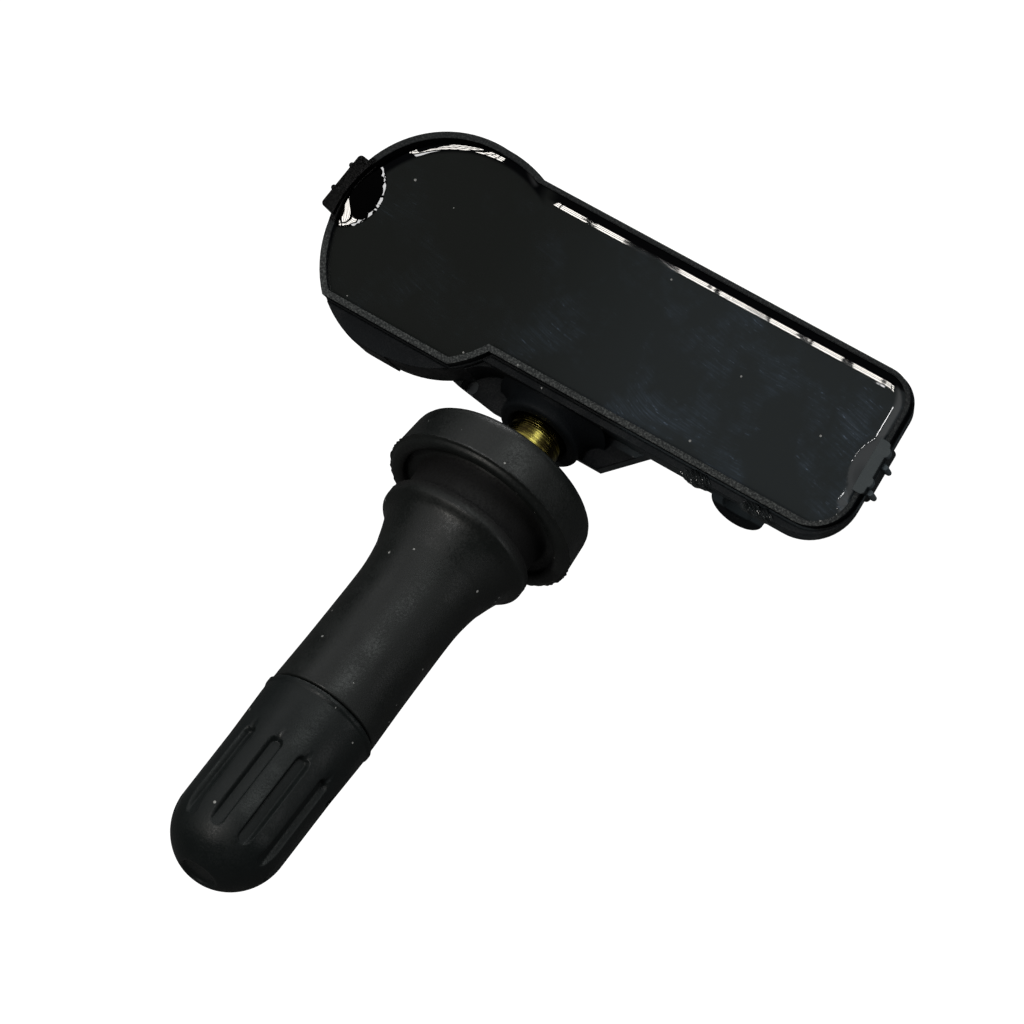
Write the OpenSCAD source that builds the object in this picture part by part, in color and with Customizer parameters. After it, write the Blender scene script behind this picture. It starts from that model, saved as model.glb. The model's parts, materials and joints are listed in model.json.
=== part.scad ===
// Wheel sensor with a snap-in rubber valve, in millimetres.
// The stem axis is the Y axis and the cap points along -Y. The origin is the middle of the groove
// that grips the wheel. The housing is tilted about X, and is drawn in its own flat frame:
// there x runs from the battery to the end of the arm, and z out of the potted face.

/* [Housing place] */
// Tilt of the potted face from the stem axis
tilt = 24.8; // [15:0.2:35]
// Battery centre to stem axis, along the arm
stem_along = 14.56; // [13.6:0.01:17]
// Battery centre behind the middle of the groove
battery_back = 18.12; // [17:0.01:22]
// Top of the rim above the stem axis, at the battery centre
battery_up = 8.22; // [7:0.01:10]

/* [Housing] */
// Radius of the round battery end
lobe_r = 11.6; // [11.4:0.05:12.4]
// Radius of the battery cup beside the stem
cup_r = 10.8; // [10.3:0.05:11]
// Cup centre, back from the lobe centre along the arm
cup_back = 1.0; // [0.4:0.1:1.2]
// Cup centre, away from the stem
cup_aside = 0.85; // [0.5:0.05:1.1]
// Lobe centre to the arm's far edge
arm_far = 10.75; // [10:0.05:11.5]
// Lobe centre to the rim's edge beside the stem
arm_near = 5.19; // [4.8:0.01:5.6]
// Lobe centre to the end of the rim
arm_reach = 43.7; // [41:0.1:50]
// Lobe centre to the straight cut across the rim of the cup
rim_chord = 8.02; // [7.6:0.02:8.6]
// Corner radius at the end of the arm, far side
corner_far = 3.0; // [2:0.1:5]
// Corner radius at the end of the arm, stem side
corner_near = 4.0; // [2.5:0.1:6]
// Depth from the rim's top to the underside
housing_depth = 7.0; // [6.9:0.1:9]
// Thickness of the walls, and of the rim on the stem side
wall = 1.1; // [0.9:0.05:1.3]
// Thickness of the rim on the far side and at the arm's end
wall_thin = 0.45; // [0.4:0.05:0.8]
// Thickness of the rim beside the stem and round the battery end
wall_near = 0.6; // [0.5:0.05:0.8]
// Thickness of the floor
floor_t = 1.0; // [0.8:0.05:1.2]
// Width of the ledge outside the rim, on the stem side
ledge_w = 0.9; // [0.5:0.05:1.4]
// Width of that ledge at the arm's end
ledge_end = 0.4; // [0.2:0.05:0.8]
// Drop from the rim's top to the ledge
ledge_drop = 0.9; // [0.5:0.05:1.3]
// Width and depth of the line at the foot of the rim
line_w = 0.25; // [0.2:0.05:0.45]
// Radius of the bottom edges
bottom_round = 0.8; // [0.4:0.1:1.2]
// How far the arm's end leans in, from the ledge to the underside
end_draft = 0.9; // [0.4:0.1:1.1]
// Radius of the wide flange on the closed side of the cup
cup_flange_r = 11.5; // [11.2:0.05:11.8]
// Cup centre to the flat on that flange
cup_flange_flat = 11.1; // [11:0.05:11.4]
// Length of the locating lug at each end
lug_len = 5.8; // [4:0.1:8]
// Turn of the lug at the battery end, from the arm's line
lug_turn = 9; // [5:0.5:14]
// Height of the lugs above the rim
lug_rise = 0.2; // [0.1:0.05:0.4]
// How far the lug at the battery end stands out
lug_out = 1.0; // [0.7:0.05:1.6]
// Width of the slot that parts that lug from the rim
lug_slot = 0.15; // [0.1:0.05:0.25]
// Length of the pad at the arm's end
end_pad_len = 5.2; // [4:0.1:7]
// How far the pad at the arm's end stands out
end_pad_out = 0.3; // [0.2:0.05:0.5]

/* [Bracket and collar] */
// Radius of the boss round the screw
boss_r = 4.6; // [4.3:0.05:5]
// Radius of the flare between the collar and the wall
boss_flare = 1.5; // [0.8:0.1:2]
// Radius of the collar's lip
lip_r = 4.15; // [3.8:0.05:4.25]
// Groove centre to the collar's lip
lip_back = 11.6; // [10.6:0.1:12.4]
// Length of the collar's lip
lip_len = 2.1; // [1.4:0.1:2.6]
// Thickness of the web that the screw clamps
web_t = 3.1; // [2.4:0.1:3.8]
// Thickness of the bracket's plate
plate_t = 1.8; // [1.2:0.1:2.4]
// Half width of the plate's straight front edge
plate_half = 5.8; // [5:0.1:7]
// Lobe centre to the plate's front edge
plate_front = 9.25; // [8.8:0.05:9.8]

/* [Pressure port] */
// Stem axis to the port, along the arm
port_along = 19.5; // [16:0.1:22]
// Height of the port above the stem axis
port_up = 1.93; // [1.4:0.01:2.2]
// Radius of the port boss
port_boss_r = 2.7; // [2.4:0.05:3]
// Radius of the port's mouth
port_r = 1.55; // [1.2:0.05:1.8]
// Groove centre back to the port boss's face
port_back = 14.04; // [13.5:0.02:14.6]

/* [Electronics] */
// Radius of the battery cell
cell_r = 8.0; // [7:0.05:8.1]
// Height of the battery cell
cell_h = 3.2; // [2.6:0.05:3.3]
// Thickness of the circuit board
board_t = 0.8; // [0.6:0.05:1]
// Thickness of the battery tabs and the antenna strip
strip_t = 0.2; // [0.15:0.05:0.3]
// Depth of the potting's surface below the rim
potting_drop = 0.45; // [0.3:0.05:0.6]
// Thickness of the potting over the board
potting_t = 1.85; // [1.7:0.05:2]
// Length, width and height of the pressure sensor
sensor_size = [7.0, 5.0, 1.7];
// Length, width and height of the radio chip
radio_size = [5.0, 5.0, 0.9];
// Length, width and height of the crystal
crystal_size = [3.2, 2.5, 0.8];
// Length, width and height of the coil's core
coil_size = [8.0, 1.8, 1.4];
// Length, width and height of a capacitor
capacitor_size = [1.6, 0.8, 0.8];
// Length, width and height of a resistor
resistor_size = [1.0, 0.55, 0.4];

/* [Valve stem] */
// Radius of the rubber flange inside the wheel
flange_r = 9.65; // [9:0.05:10.2]
// Thickness of the flange
flange_t = 4.86; // [3.8:0.02:5]
// Width of the groove that grips the wheel
groove_w = 2.84; // [2.2:0.02:3.4]
// Radius at the bottom of the groove
groove_r = 6.6; // [6:0.05:7]
// Radius of the flange's front lip, inside
seat_r = 8.44; // [8:0.02:8.8]
// Radius of the shoulder outside the wheel
shoulder_r = 7.4; // [7.1:0.05:7.8]
// Radius of the rubber tube at its slimmest
tube_r = 5.12; // [4.8:0.02:5.3]
// Radius of the brass neck
neck_r = 2.72; // [2.6:0.02:2.9]
// Radius over the stem's outside thread
stem_thread_r = 3.85; // [3.7:0.05:4]
// Pitch of the outside thread
stem_pitch = 0.794; // [0.7:0.002:0.9]
// Groove centre to the mouth of the stem
stem_mouth = 34.4; // [33.5:0.1:36]
// Radius of the screw's shank
screw_r = 2.0; // [1.8:0.05:2.1]

/* [Cap] */
// Radius of the cap at its lip
cap_lip_r = 5.5; // [5.35:0.05:5.8]
// Radius of the cap's barrel
cap_r = 5.22; // [5:0.02:5.3]
// Groove centre to the cap's mouth
cap_mouth = 23.05; // [22.6:0.05:23.4]
// Length of the cap past the mouth of the stem
cap_over = 6.6; // [6.2:0.05:7.5]
// Cap's mouth to the middle of the groove's lower end
grip_start = 6.35; // [5:0.05:7]
// Length of the cap's rounded end
dome_high = 5.0; // [4.6:0.05:5.2]
// Number of grip grooves
cap_grooves = 11; // [8:1:14]
// Width of each grip groove
groove_cut = 1.3; // [0.9:0.05:1.6]

/* [Clearances] */
// Gap round a part that turns or slides in another
run_gap = 0.09; // [0.05:0.01:0.1]
// Gap round a part that is laid in the housing
lay_gap = 0.2; // [0.1:0.05:0.3]
// Gap between threads that are screwed tight
fit_gap = 0.04; // [0.03:0.01:0.06]

/* [Hidden] */
$fn = 64;
far_away = 60;

// Levels in the housing's frame, from the rim's top at zero
underside_z = -housing_depth;
inner_floor_z = underside_z + floor_t;
potting_top_z = -potting_drop;
board_top_z = potting_top_z - potting_t;
board_z = board_top_z - board_t;
cell_z = inner_floor_z + strip_t;
cell_top_z = cell_z + cell_h;
shelf_t = 0.9;
line_depth = 0.35;
slot_depth = 0.8;
post_r = 0.9;

// Outlines in the housing's frame
inner_end = arm_reach - wall;
inner_near = arm_near - wall;
inner_far = arm_far - wall;
lug_depth = 4.2;
pad_mid = 2.3;
pad_over = 0.8;
pip_gap = 2.6;
pip_r = 0.26;
pip_out = 0.24;
pad_pip_out = 0.58;
board_start = 8.4;
board_end = inner_end - 0.8;
board_near = inner_near - lay_gap;
board_far = inner_far - lay_gap;
notch_half = boss_r + 0.6;
notch_deep = 1.5;
cell_x = -cup_back;
cell_y = 1.0;
tab_w = 3.0;
cup_swell = 0.2;
flange_stop = -0.5;
port_x = stem_along + port_along;
port_len = 4.5;
filter_deep = 1.6;
duct_w = 1.2;
coil_at = [port_x - 1.5, 6.4];
coil_turn_len = coil_size[0] * 0.62;
coil_wall = 0.3;
capacitor_start = -3.5;
capacitor_step = 2.3;
capacitor_row = 8.0;
resistor_start = 15.2;
resistor_step = 1.5;
resistor_row = 0.6;

// Stations along the stem axis, positive towards the cap
insert_end = -(lip_back + 2.6);
head_seat = insert_end - web_t;
boss_start = -(lip_back + lip_len / 2);
head_h = 2.1;
head_r = 2.9;
head_round = 0.7;
screw_hold = 5.4;
socket_depth = 1.2;
socket_r = 1.05;
driver_r = head_r + 0.5;
boss_end = head_seat - head_h - 0.4;
cover_r = driver_r + 0.8;
driver_way = 12;
flange_front = -groove_w / 2 - 0.12;
flange_back = flange_front - flange_t;
shoulder_back = groove_w / 2 - 0.12;
rubber_end = cap_mouth - lay_gap;
thread_start = stem_mouth - 8.4;
thread_depth = 0.4;

// Valve core stations and radii
chamber_start = 15.8;
chamber_r = 2.05;
seat_start = 27.5;
plug_start = 29.2;
plug_end = stem_mouth - 1.0;
plug_r = 2.6;
core_pitch = 0.7;
barrel_start = 20.5;
barrel_r = 1.7;
barrel_bore = 1.15;
seal_r = 1.45;
pin_r = 0.6;
pin_tip = stem_mouth - 0.5;
pin_collar_s = plug_start - 2.6;
spring_wire = 0.15;
spring_turns = 7;
spring_r = (pin_r + barrel_bore) / 2;
cup_h = 2.0;
cup_gap = 0.05;
cup_seal_t = 0.8;

// Cap stations
cap_tip = stem_mouth + cap_over;
cap_bore = stem_thread_r + run_gap;
cap_seal_t = 1.0;
cap_seal_s = stem_mouth + 0.05;
dome_len = 5.4;
dome_start = cap_tip - dome_high;
groove_low = cap_mouth + grip_start;
groove_high = dome_start + 1.6;
first_groove = 91;

// Points on an arc, from angle a to angle b
function arc(x, y, r, a, b, n = 8) = [for (i = [0 : n]) let (t = a + (b - a) * i / n)
    [x + r * cos(t), y + r * sin(t)]];

// Crests and roots of a ring thread, from station a to station b
function thread(crest, depth, a, b, pitch) = [for (k = [0 : floor((b - a) / pitch) - 1])
    each [[crest - depth, a + k * pitch], [crest, a + (k + 0.5) * pitch]]];

// Places children on the stem axis, with their z along it, towards the cap
module on_stem() {
    rotate([90, 0, 0]) children();
}

// Places children in the housing's flat frame
module in_housing() {
    translate([-stem_along, battery_back, battery_up]) rotate([tilt, 0, 0]) children();
}

// Places children on the pressure port's axis
module on_port() {
    translate([port_along, 0, port_up]) on_stem() children();
}

// A turned piece from points of radius and station
module turned(points) {
    on_stem() rotate_extrude() polygon(points);
}

// Plan of the round battery end
module lobe_plan(inset = 0) {
    intersection() {
        union() {
            difference() {
                circle(r = lobe_r - inset);
                translate([0, -far_away]) square(far_away);
            }
            translate([-cup_back, cup_aside]) circle(r = cup_r - inset);
        }
        translate([-far_away, -(rim_chord - inset)]) square(2 * far_away);
    }
}

// Plan of the arm, with its end corners rounded
module arm_plan(inset = 0, out = 0, out_end = 0) {
    x1 = arm_reach + out_end - inset;
    y0 = -(arm_near + out - inset);
    y1 = arm_far - inset;
    rn = corner_near + out - inset;
    rf = corner_far + out_end / 2 - inset;
    translate([0, y0]) square([x1 - rn, y1 - y0]);
    translate([0, y0 + rn]) square([x1, y1 - rf - y0 - rn]);
    translate([0, y0 + rn]) square([x1 - rf, y1 - y0 - rn]);
    translate([x1 - rn, y0 + rn]) circle(r = rn);
    translate([x1 - rf, y1 - rf]) circle(r = rf);
}

// Plan of the rim, grown or shrunk all round
module rim_plan(inset = 0) {
    lobe_plan(inset);
    arm_plan(inset);
}

// Plan of the space inside the rim, which is thinnest on the far side and at the end
module rim_inside() {
    rim_plan(wall_near);
    intersection() {
        arm_plan(wall_thin);
        translate([0, wall_near - arm_near]) square(far_away);
    }
}

// A round block with a rounded bottom edge
module round_block(r, top) {
    b = bottom_round;
    rotate_extrude() polygon(concat([[0, top], [0, underside_z]],
        arc(r - b, underside_z + b, b, -90, 0), [[r, top]]));
}

// The arm's block below the ledge, its end leaning in and its bottom edges rounded
module arm_block() {
    sheet = 0.02;
    steps = 3;
    hull() {
        translate([0, 0, -ledge_drop - sheet]) linear_extrude(sheet) arm_plan(0, ledge_w, ledge_end);
        for (i = [0 : steps]) let (t = 90 * i / steps)
            translate([0, 0, underside_z + bottom_round * (1 - sin(t))]) linear_extrude(sheet)
                arm_plan(bottom_round * (1 - cos(t)), ledge_w, ledge_end - end_draft);
    }
}

// The round end below the rim, with its cup and the cup's wide flange
module lobe_block() {
    top = -ledge_drop;
    intersection() {
        difference() {
            round_block(lobe_r, top);
            translate([0, -far_away, -far_away]) cube([far_away, far_away, 2 * far_away]);
        }
        translate([-far_away, -rim_chord, -far_away]) cube(2 * far_away);
    }
    intersection() {
        translate([-cup_back, cup_aside, 0]) {
            round_block(cup_r + cup_swell, top);
            intersection() {
                round_block(cup_flange_r, top);
                translate([-far_away, -cup_flange_flat, -far_away])
                    cube([far_away + cup_back + flange_stop, 2 * far_away, 2 * far_away]);
            }
        }
        translate([-far_away, -(arm_near + ledge_w) - 2 * far_away, -far_away]) cube(2 * far_away);
    }
}

// A lug that stands out along x, with rounded corners and two pips, the taller ones up to its top
module lug(len, out, over, pip_mid, pip_top, pip_reach) {
    corner = 0.4;
    half = len / 2;
    translate([0, 0, lug_rise - lug_depth]) {
        linear_extrude(lug_depth) {
            translate([-over, -half]) square([over + out - corner, len]);
            translate([-over, corner - half]) square([over + out, len - 2 * corner]);
            for (side = [-1, 1]) translate([out - corner, side * (half - corner)]) circle(r = corner);
        }
        for (side = [-1, 1]) translate([0, pip_mid + side * pip_gap / 2, 0.5])
            linear_extrude(lug_depth - 0.5 - pip_top) hull() {
                translate([out - pip_r, 0]) circle(r = pip_r);
                translate([out + pip_reach - pip_r, 0]) circle(r = pip_r);
            }
    }
}

// The slot that parts the battery end's lug from the rim
module lug_slot_ring() {
    middle = lobe_r - wall_near / 2;
    intersection() {
        rotate(180 - lug_turn) translate([0, -lug_len / 2, -slot_depth]) cube([far_away, lug_len, far_away]);
        difference() {
            cylinder(h = far_away, r = middle + lug_slot, center = true);
            cylinder(h = 2 * far_away, r = middle, center = true);
        }
    }
}

// The lug at the battery end, outside its slot
module battery_lug() {
    middle = lobe_r - wall_near / 2;
    difference() {
        rotate(180 - lug_turn) translate([lobe_r, 0, 0])
            lug(lug_len, lug_out, wall, -0.3, 0, pip_out);
        translate([0, 0, -lug_depth]) cylinder(h = lug_depth + 1, r = middle);
        translate([0, 0, -slot_depth]) cylinder(h = slot_depth + 1, r = middle + lug_slot);
    }
}

// The pad over the rim at the arm's end, with a small tab at each pip; it rests on the potting
module end_pad() {
    tab = 0.28;
    translate([arm_reach, pad_mid, 0]) {
        difference() {
            lug(end_pad_len, end_pad_out, pad_over, -0.7, 1.0, pad_pip_out);
            translate([-far_away - wall_thin, -end_pad_len, -far_away])
                cube([far_away, 2 * end_pad_len, far_away - potting_drop]);
        }
        for (y = [-pip_gap / 2, pip_gap * 0.65]) translate([end_pad_out - tab, y, -ledge_drop])
            cylinder(h = ledge_drop + lug_rise, r = 2 * tab);
    }
}

// Plate that joins the boss to the underside of the arm and the cup
module bracket_plate() {
    z0 = underside_z - plate_t;
    chamfer = 3.7;
    left = stem_along - plate_half;
    right = stem_along + plate_half;
    difference() {
        translate([0, 0, z0]) linear_extrude(plate_t + floor_t / 2) polygon([[left - 6.5, -4],
            [left - 6.5, -plate_front + 1.2], [left - 4.2, -plate_front + 0.6], [left, -plate_front],
            [right, -plate_front], [right + chamfer, -plate_front + chamfer], [right + chamfer, -1],
            [left + 2, -1]]);
        translate([left - 2.6, -plate_front + 0.95, z0 + 0.5]) cylinder(h = plate_t, r = 0.8);
    }
}

// Rounded corner between the cup's wall and the arm's wall
module corner_round() {
    r = 4.0;
    wall_y = -(arm_near + ledge_w);
    corner_x = sqrt(pow(cup_r + cup_swell, 2) - pow(wall_y - cup_aside, 2)) - cup_back;
    turn = 90 + atan2(wall_y - cup_aside, corner_x + cup_back);
    reach = r * tan(turn / 2);
    translate([0, 0, underside_z]) linear_extrude(housing_depth - 2 * ledge_drop)
        polygon(concat([[corner_x - 1.5, wall_y + 0.5], [corner_x + reach, wall_y + 0.5]],
            arc(corner_x + reach, wall_y - r, r, 90, 90 + turn),
            [[corner_x - 2 * reach * cos(turn), wall_y]]));
}

// Posts that carry the circuit board above the floor
module board_posts() {
    x_end = board_end - 1.4;
    beside_chip = sensor_size[1] / 2 + lay_gap + post_r;
    for (p = [[board_start + 3.0, board_far - 1.4], [x_end, board_far - 1.4], [x_end, beside_chip],
              [stem_along + notch_half + 1.6, -board_near + 1.2]]) {
        translate([p[0], p[1], inner_floor_z - floor_t / 2])
            cylinder(h = board_z - inner_floor_z + floor_t / 2, r = post_r);
    }
}

// Boss on the stem axis. A flare runs from it to the collar's lip in front
module screw_boss() {
    f = boss_flare;
    turned(concat([[0, boss_end], [boss_r, boss_end], [boss_r, boss_start - f - 0.6],
        [lip_r + f, boss_start - f]], arc(lip_r + f, boss_start, f, 270, 180),
        arc(lip_r - 0.4, -lip_back - 0.4, 0.4, 0, 90), [[0, -lip_back]]));
}

// Holes along the stem axis: pocket for the brass, hole for the screw, way in for its driver
module screw_holes() {
    pocket_r = neck_r + lay_gap;
    hole_r = screw_r + lay_gap;
    turned([[0, insert_end], [pocket_r, insert_end], [pocket_r, -lip_back - 0.3],
        [pocket_r + 0.35, -lip_back + 0.1], [0, -lip_back + 0.1]]);
    turned([[0, head_seat - 1], [hole_r, head_seat - 1], [hole_r, insert_end + 1],
        [0, insert_end + 1]]);
    turned([[0, head_seat - far_away], [driver_r, head_seat - far_away], [driver_r, head_seat],
        [0, head_seat]]);
}

// Cover inside the housing over the driver's way
module driver_cover() {
    intersection() {
        turned([[0, head_seat - driver_way], [cover_r, head_seat - driver_way],
            [cover_r, head_seat + 1], [0, head_seat + 1]]);
        in_housing() translate([0, 0, underside_z + 0.2]) linear_extrude(housing_depth)
            rim_plan(wall / 2);
    }
}

// Boss of the pressure port
module port_boss() {
    intersection() {
        on_port() translate([0, 0, -port_back - port_len]) cylinder(h = port_len, r = port_boss_r);
        in_housing() translate([0, -far_away, underside_z])
            cube([far_away, far_away - inner_near, housing_depth - ledge_drop]);
    }
}

// Hollow of the port: its mouth, a seat for the filter and a duct to the chamber
module port_hole() {
    on_port() {
        translate([0, 0, -port_back - filter_deep]) cylinder(h = 3, r = port_r);
        translate([0, 0, -port_back - port_len - 0.1]) cylinder(h = port_len, r = port_r - 0.85);
    }
    in_housing() translate([port_x - duct_w / 2, -inner_near - 0.3, inner_floor_z - floor_t / 2])
        cube([duct_w, inner_near + 0.8, floor_t]);
}

// Space inside the housing
module cavity() {
    translate([0, 0, inner_floor_z]) linear_extrude(housing_depth + 1) rim_plan(wall);
    translate([0, 0, board_top_z]) linear_extrude(housing_depth) rim_inside();
    translate([-cup_back, cup_aside, inner_floor_z])
        cylinder(h = housing_depth - floor_t - ledge_drop - shelf_t, r = cup_r - wall);
}

// Plan of the line at the foot of the rim, on the stem side and round the arm
module rim_line() {
    difference() {
        rim_plan(-line_w);
        rim_plan();
        translate([-far_away, line_w - arm_near]) square([far_away + board_start, far_away]);
    }
}

module housing() {
    color([0.13, 0.13, 0.135]) difference() {
        union() {
            difference() {
                union() {
                    in_housing() {
                        arm_block();
                        lobe_block();
                        translate([0, 0, -ledge_drop - 1]) linear_extrude(ledge_drop + 1) rim_plan();
                        bracket_plate();
                        corner_round();
                    }
                    screw_boss();
                    port_boss();
                }
                in_housing() {
                    cavity();
                    translate([0, 0, -ledge_drop - line_depth])
                        linear_extrude(ledge_drop + line_depth + 1) rim_line();
                    lug_slot_ring();
                }
            }
            in_housing() {
                battery_lug();
                end_pad();
            }
            in_housing() board_posts();
            driver_cover();
            intersection() {
                screw_boss();
                in_housing() translate([0, 0, underside_z]) linear_extrude(housing_depth - 1)
                    rim_plan(wall / 2);
            }
        }
        screw_holes();
        port_hole();
    }
}

// Blocks that stand up from the board into the potting
module board_parts() {
    radio_chip_body();
    crystal_body();
    coil_envelope();
    antenna_body();
    for (p = capacitor_places()) capacitor_at(p);
    for (p = resistor_places()) resistor_at(p);
    tab_positive_body();
}

module potting() {
    color([0.08, 0.08, 0.085]) difference() {
        in_housing() difference() {
            translate([0, 0, board_top_z]) linear_extrude(potting_t) rim_inside();
            board_parts();
        }
        screw_boss();
    }
}

module circuit_board() {
    color([0.08, 0.3, 0.16]) in_housing() difference() {
        translate([board_start, -board_near, board_z])
            cube([board_end - board_start, board_near + board_far, board_t]);
        translate([stem_along - notch_half, -board_near - 1, board_z - 1])
            cube([2 * notch_half, board_near - notch_deep + 1, board_t + 2]);
        translate([board_end - corner_near, -board_near, board_z - 1]) difference() {
            translate([0.5, -1, 0]) cube([corner_near, corner_near + 0.5, board_t + 2]);
            translate([0, corner_near - 0.4, -1]) cylinder(h = board_t + 4, r = corner_near - 0.4);
        }
    }
}

module coin_cell() {
    low = 0.25;
    b = 0.35;
    color([0.75, 0.75, 0.76]) in_housing() translate([cell_x, cell_y, cell_z]) rotate_extrude()
        polygon(concat([[0, 0], [cell_r - 0.9, 0], [cell_r - 0.9, low], [cell_r - 0.2, low],
            [cell_r, low + 0.2]], arc(cell_r - b, cell_h - b, b, 0, 90), [[0, cell_h]]));
}

// Strip from the top of the cell onto the board
module tab_positive_body() {
    w = tab_w;
    x0 = cell_x - 2;
    step_x = board_start - 0.8;
    pad_end = board_start + 2.2;
    t = strip_t;
    translate([0, cell_y + 2.5 + w, 0]) rotate([90, 0, 0]) linear_extrude(w)
        polygon([[x0, cell_top_z], [step_x + t, cell_top_z], [step_x + t, board_top_z],
            [pad_end, board_top_z], [pad_end, board_top_z + t], [step_x, board_top_z + t],
            [step_x, cell_top_z + t], [x0, cell_top_z + t]]);
}

module battery_tab_positive() {
    color([0.8, 0.8, 0.78]) in_housing() tab_positive_body();
}

module battery_tab_negative() {
    w = tab_w;
    x0 = cell_x - 3;
    rise_x = cell_x + cell_r + 0.45;
    pad_end = board_start + 2.4;
    t = strip_t;
    color([0.8, 0.8, 0.78])
        in_housing() translate([0, cell_y - 1, 0]) rotate([90, 0, 0]) linear_extrude(w)
        polygon([[x0, inner_floor_z], [rise_x + t, inner_floor_z], [rise_x + t, board_z - t],
            [pad_end, board_z - t], [pad_end, board_z], [rise_x, board_z], [rise_x, inner_floor_z + t],
            [x0, inner_floor_z + t]]);
}

// A block on the board's top, centred at x and y
module block_on_board(x, y, size) {
    translate([x - size[0] / 2, y - size[1] / 2, board_top_z]) cube(size);
}

module radio_chip_body() {
    block_on_board(stem_along + 10, 1.6, radio_size);
}

module radio_chip() {
    color([0.1, 0.1, 0.1]) in_housing() radio_chip_body();
}

module crystal_body() {
    block_on_board(stem_along + 3.6, 5.6, crystal_size);
}

module crystal() {
    color([0.72, 0.72, 0.7]) in_housing() crystal_body();
}

module sensor_chip() {
    x = port_x;
    color([0.12, 0.12, 0.12]) in_housing() difference() {
        translate([x - sensor_size[0] / 2, -sensor_size[1] / 2, board_z - sensor_size[2]])
            cube(sensor_size);
        translate([x, 0, board_z - sensor_size[2] - 1]) cylinder(h = 1.6, r = duct_w / 2);
    }
}

module port_gasket() {
    gasket_r = 2.1;
    color([0.2, 0.2, 0.2]) in_housing() translate([port_x, 0, inner_floor_z]) difference() {
        cylinder(h = board_z - sensor_size[2] - inner_floor_z, r = gasket_r);
        translate([0, 0, -1]) cylinder(h = housing_depth, r = gasket_r - 0.8);
    }
}

module port_filter() {
    color([0.85, 0.85, 0.82]) on_port() translate([0, 0, -port_back - filter_deep])
        cylinder(h = 0.3, r = port_r - 0.03);
}

// Strip that stands on edge round the far side and the end of the board
module antenna_body() {
    h = 1.2;
    t = strip_t + 0.15;
    x0 = board_start + 3.6;
    x1 = board_end - 0.5;
    y0 = 0.9;
    y1 = board_far - 0.4;
    translate([0, 0, board_top_z]) linear_extrude(h) difference() {
        translate([x0, y0]) square([x1 - x0, y1 - y0]);
        translate([x0 - 1, y0 - 1]) square([x1 - x0 + 1 - t, y1 - y0 + 1 - t]);
    }
}

module antenna() {
    color([0.8, 0.62, 0.3]) in_housing() antenna_body();
}

module coil_envelope() {
    block_on_board(coil_at[0], coil_at[1], coil_size);
}

module coil_core() {
    color([0.2, 0.2, 0.21]) in_housing() {
        difference() {
            coil_envelope();
            block_on_board(coil_at[0], coil_at[1],
                [coil_turn_len, coil_size[1] + 1, coil_size[2] + 1]);
        }
        translate([0, 0, coil_wall]) block_on_board(coil_at[0], coil_at[1],
            [coil_turn_len + 0.1, coil_size[1] - 2 * coil_wall, coil_size[2] - 2 * coil_wall]);
    }
}

module coil_winding() {
    color([0.7, 0.35, 0.16]) in_housing() difference() {
        block_on_board(coil_at[0], coil_at[1], [coil_turn_len, coil_size[1], coil_size[2]]);
        translate([0, 0, coil_wall]) block_on_board(coil_at[0], coil_at[1],
            [coil_size[0], coil_size[1] - 2 * coil_wall, coil_size[2] - 2 * coil_wall]);
    }
}

// Places of the capacitors, in one row
function capacitor_places() = [for (i = [0 : 5])
    [stem_along + capacitor_start + i * capacitor_step, capacitor_row]];

// Places of the resistors, in two rows of four
function resistor_places() = [for (i = [0 : 7])
    [stem_along + resistor_start + (i % 4) * resistor_step, -resistor_row * (i < 4 ? 1 : 3.6)]];

module capacitor_at(p) {
    block_on_board(p[0], p[1], capacitor_size);
}

module resistor_at(p) {
    block_on_board(p[0], p[1], resistor_size);
}

module capacitors() {
    color([0.66, 0.52, 0.36]) in_housing() for (p = capacitor_places()) capacitor_at(p);
}

module resistors() {
    color([0.1, 0.1, 0.12]) in_housing() for (p = resistor_places()) resistor_at(p);
}

module mounting_screw() {
    tip = insert_end + screw_hold;
    color([0.62, 0.62, 0.64]) difference() {
        turned(concat([[0, head_seat - head_h]],
            arc(head_r - head_round, head_seat - head_h + head_round, head_round, -90, 0),
            [[head_r, head_seat], [screw_r, head_seat]],
            thread(screw_r, 0.3, head_seat + 0.6, tip, core_pitch),
            [[screw_r - 0.4, tip], [0, tip + 0.4]]));
        on_stem() translate([0, 0, head_seat - head_h - 1]) linear_extrude(socket_depth + 1) {
            circle(r = socket_r);
            for (k = [0 : 5]) rotate(k * 60) translate([socket_r + 0.05, 0]) circle(r = socket_r / 3);
        }
    }
}

// Outside of the brass where the rubber is moulded round it
function moulded_outside() = let (foot_r = 5.2, waist_r = 3.4, slim_r = 3.1) [
    [neck_r, flange_back + 0.6], [foot_r, flange_back + 0.8], [foot_r, flange_back + 1.8],
    [waist_r, flange_back + 2.2], [waist_r, shoulder_back + 2], [waist_r + 0.5, shoulder_back + 2.2],
    [slim_r, shoulder_back + 4], [slim_r, rubber_end - 2],
    [stem_thread_r - thread_depth, rubber_end - 1.6]];

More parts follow.
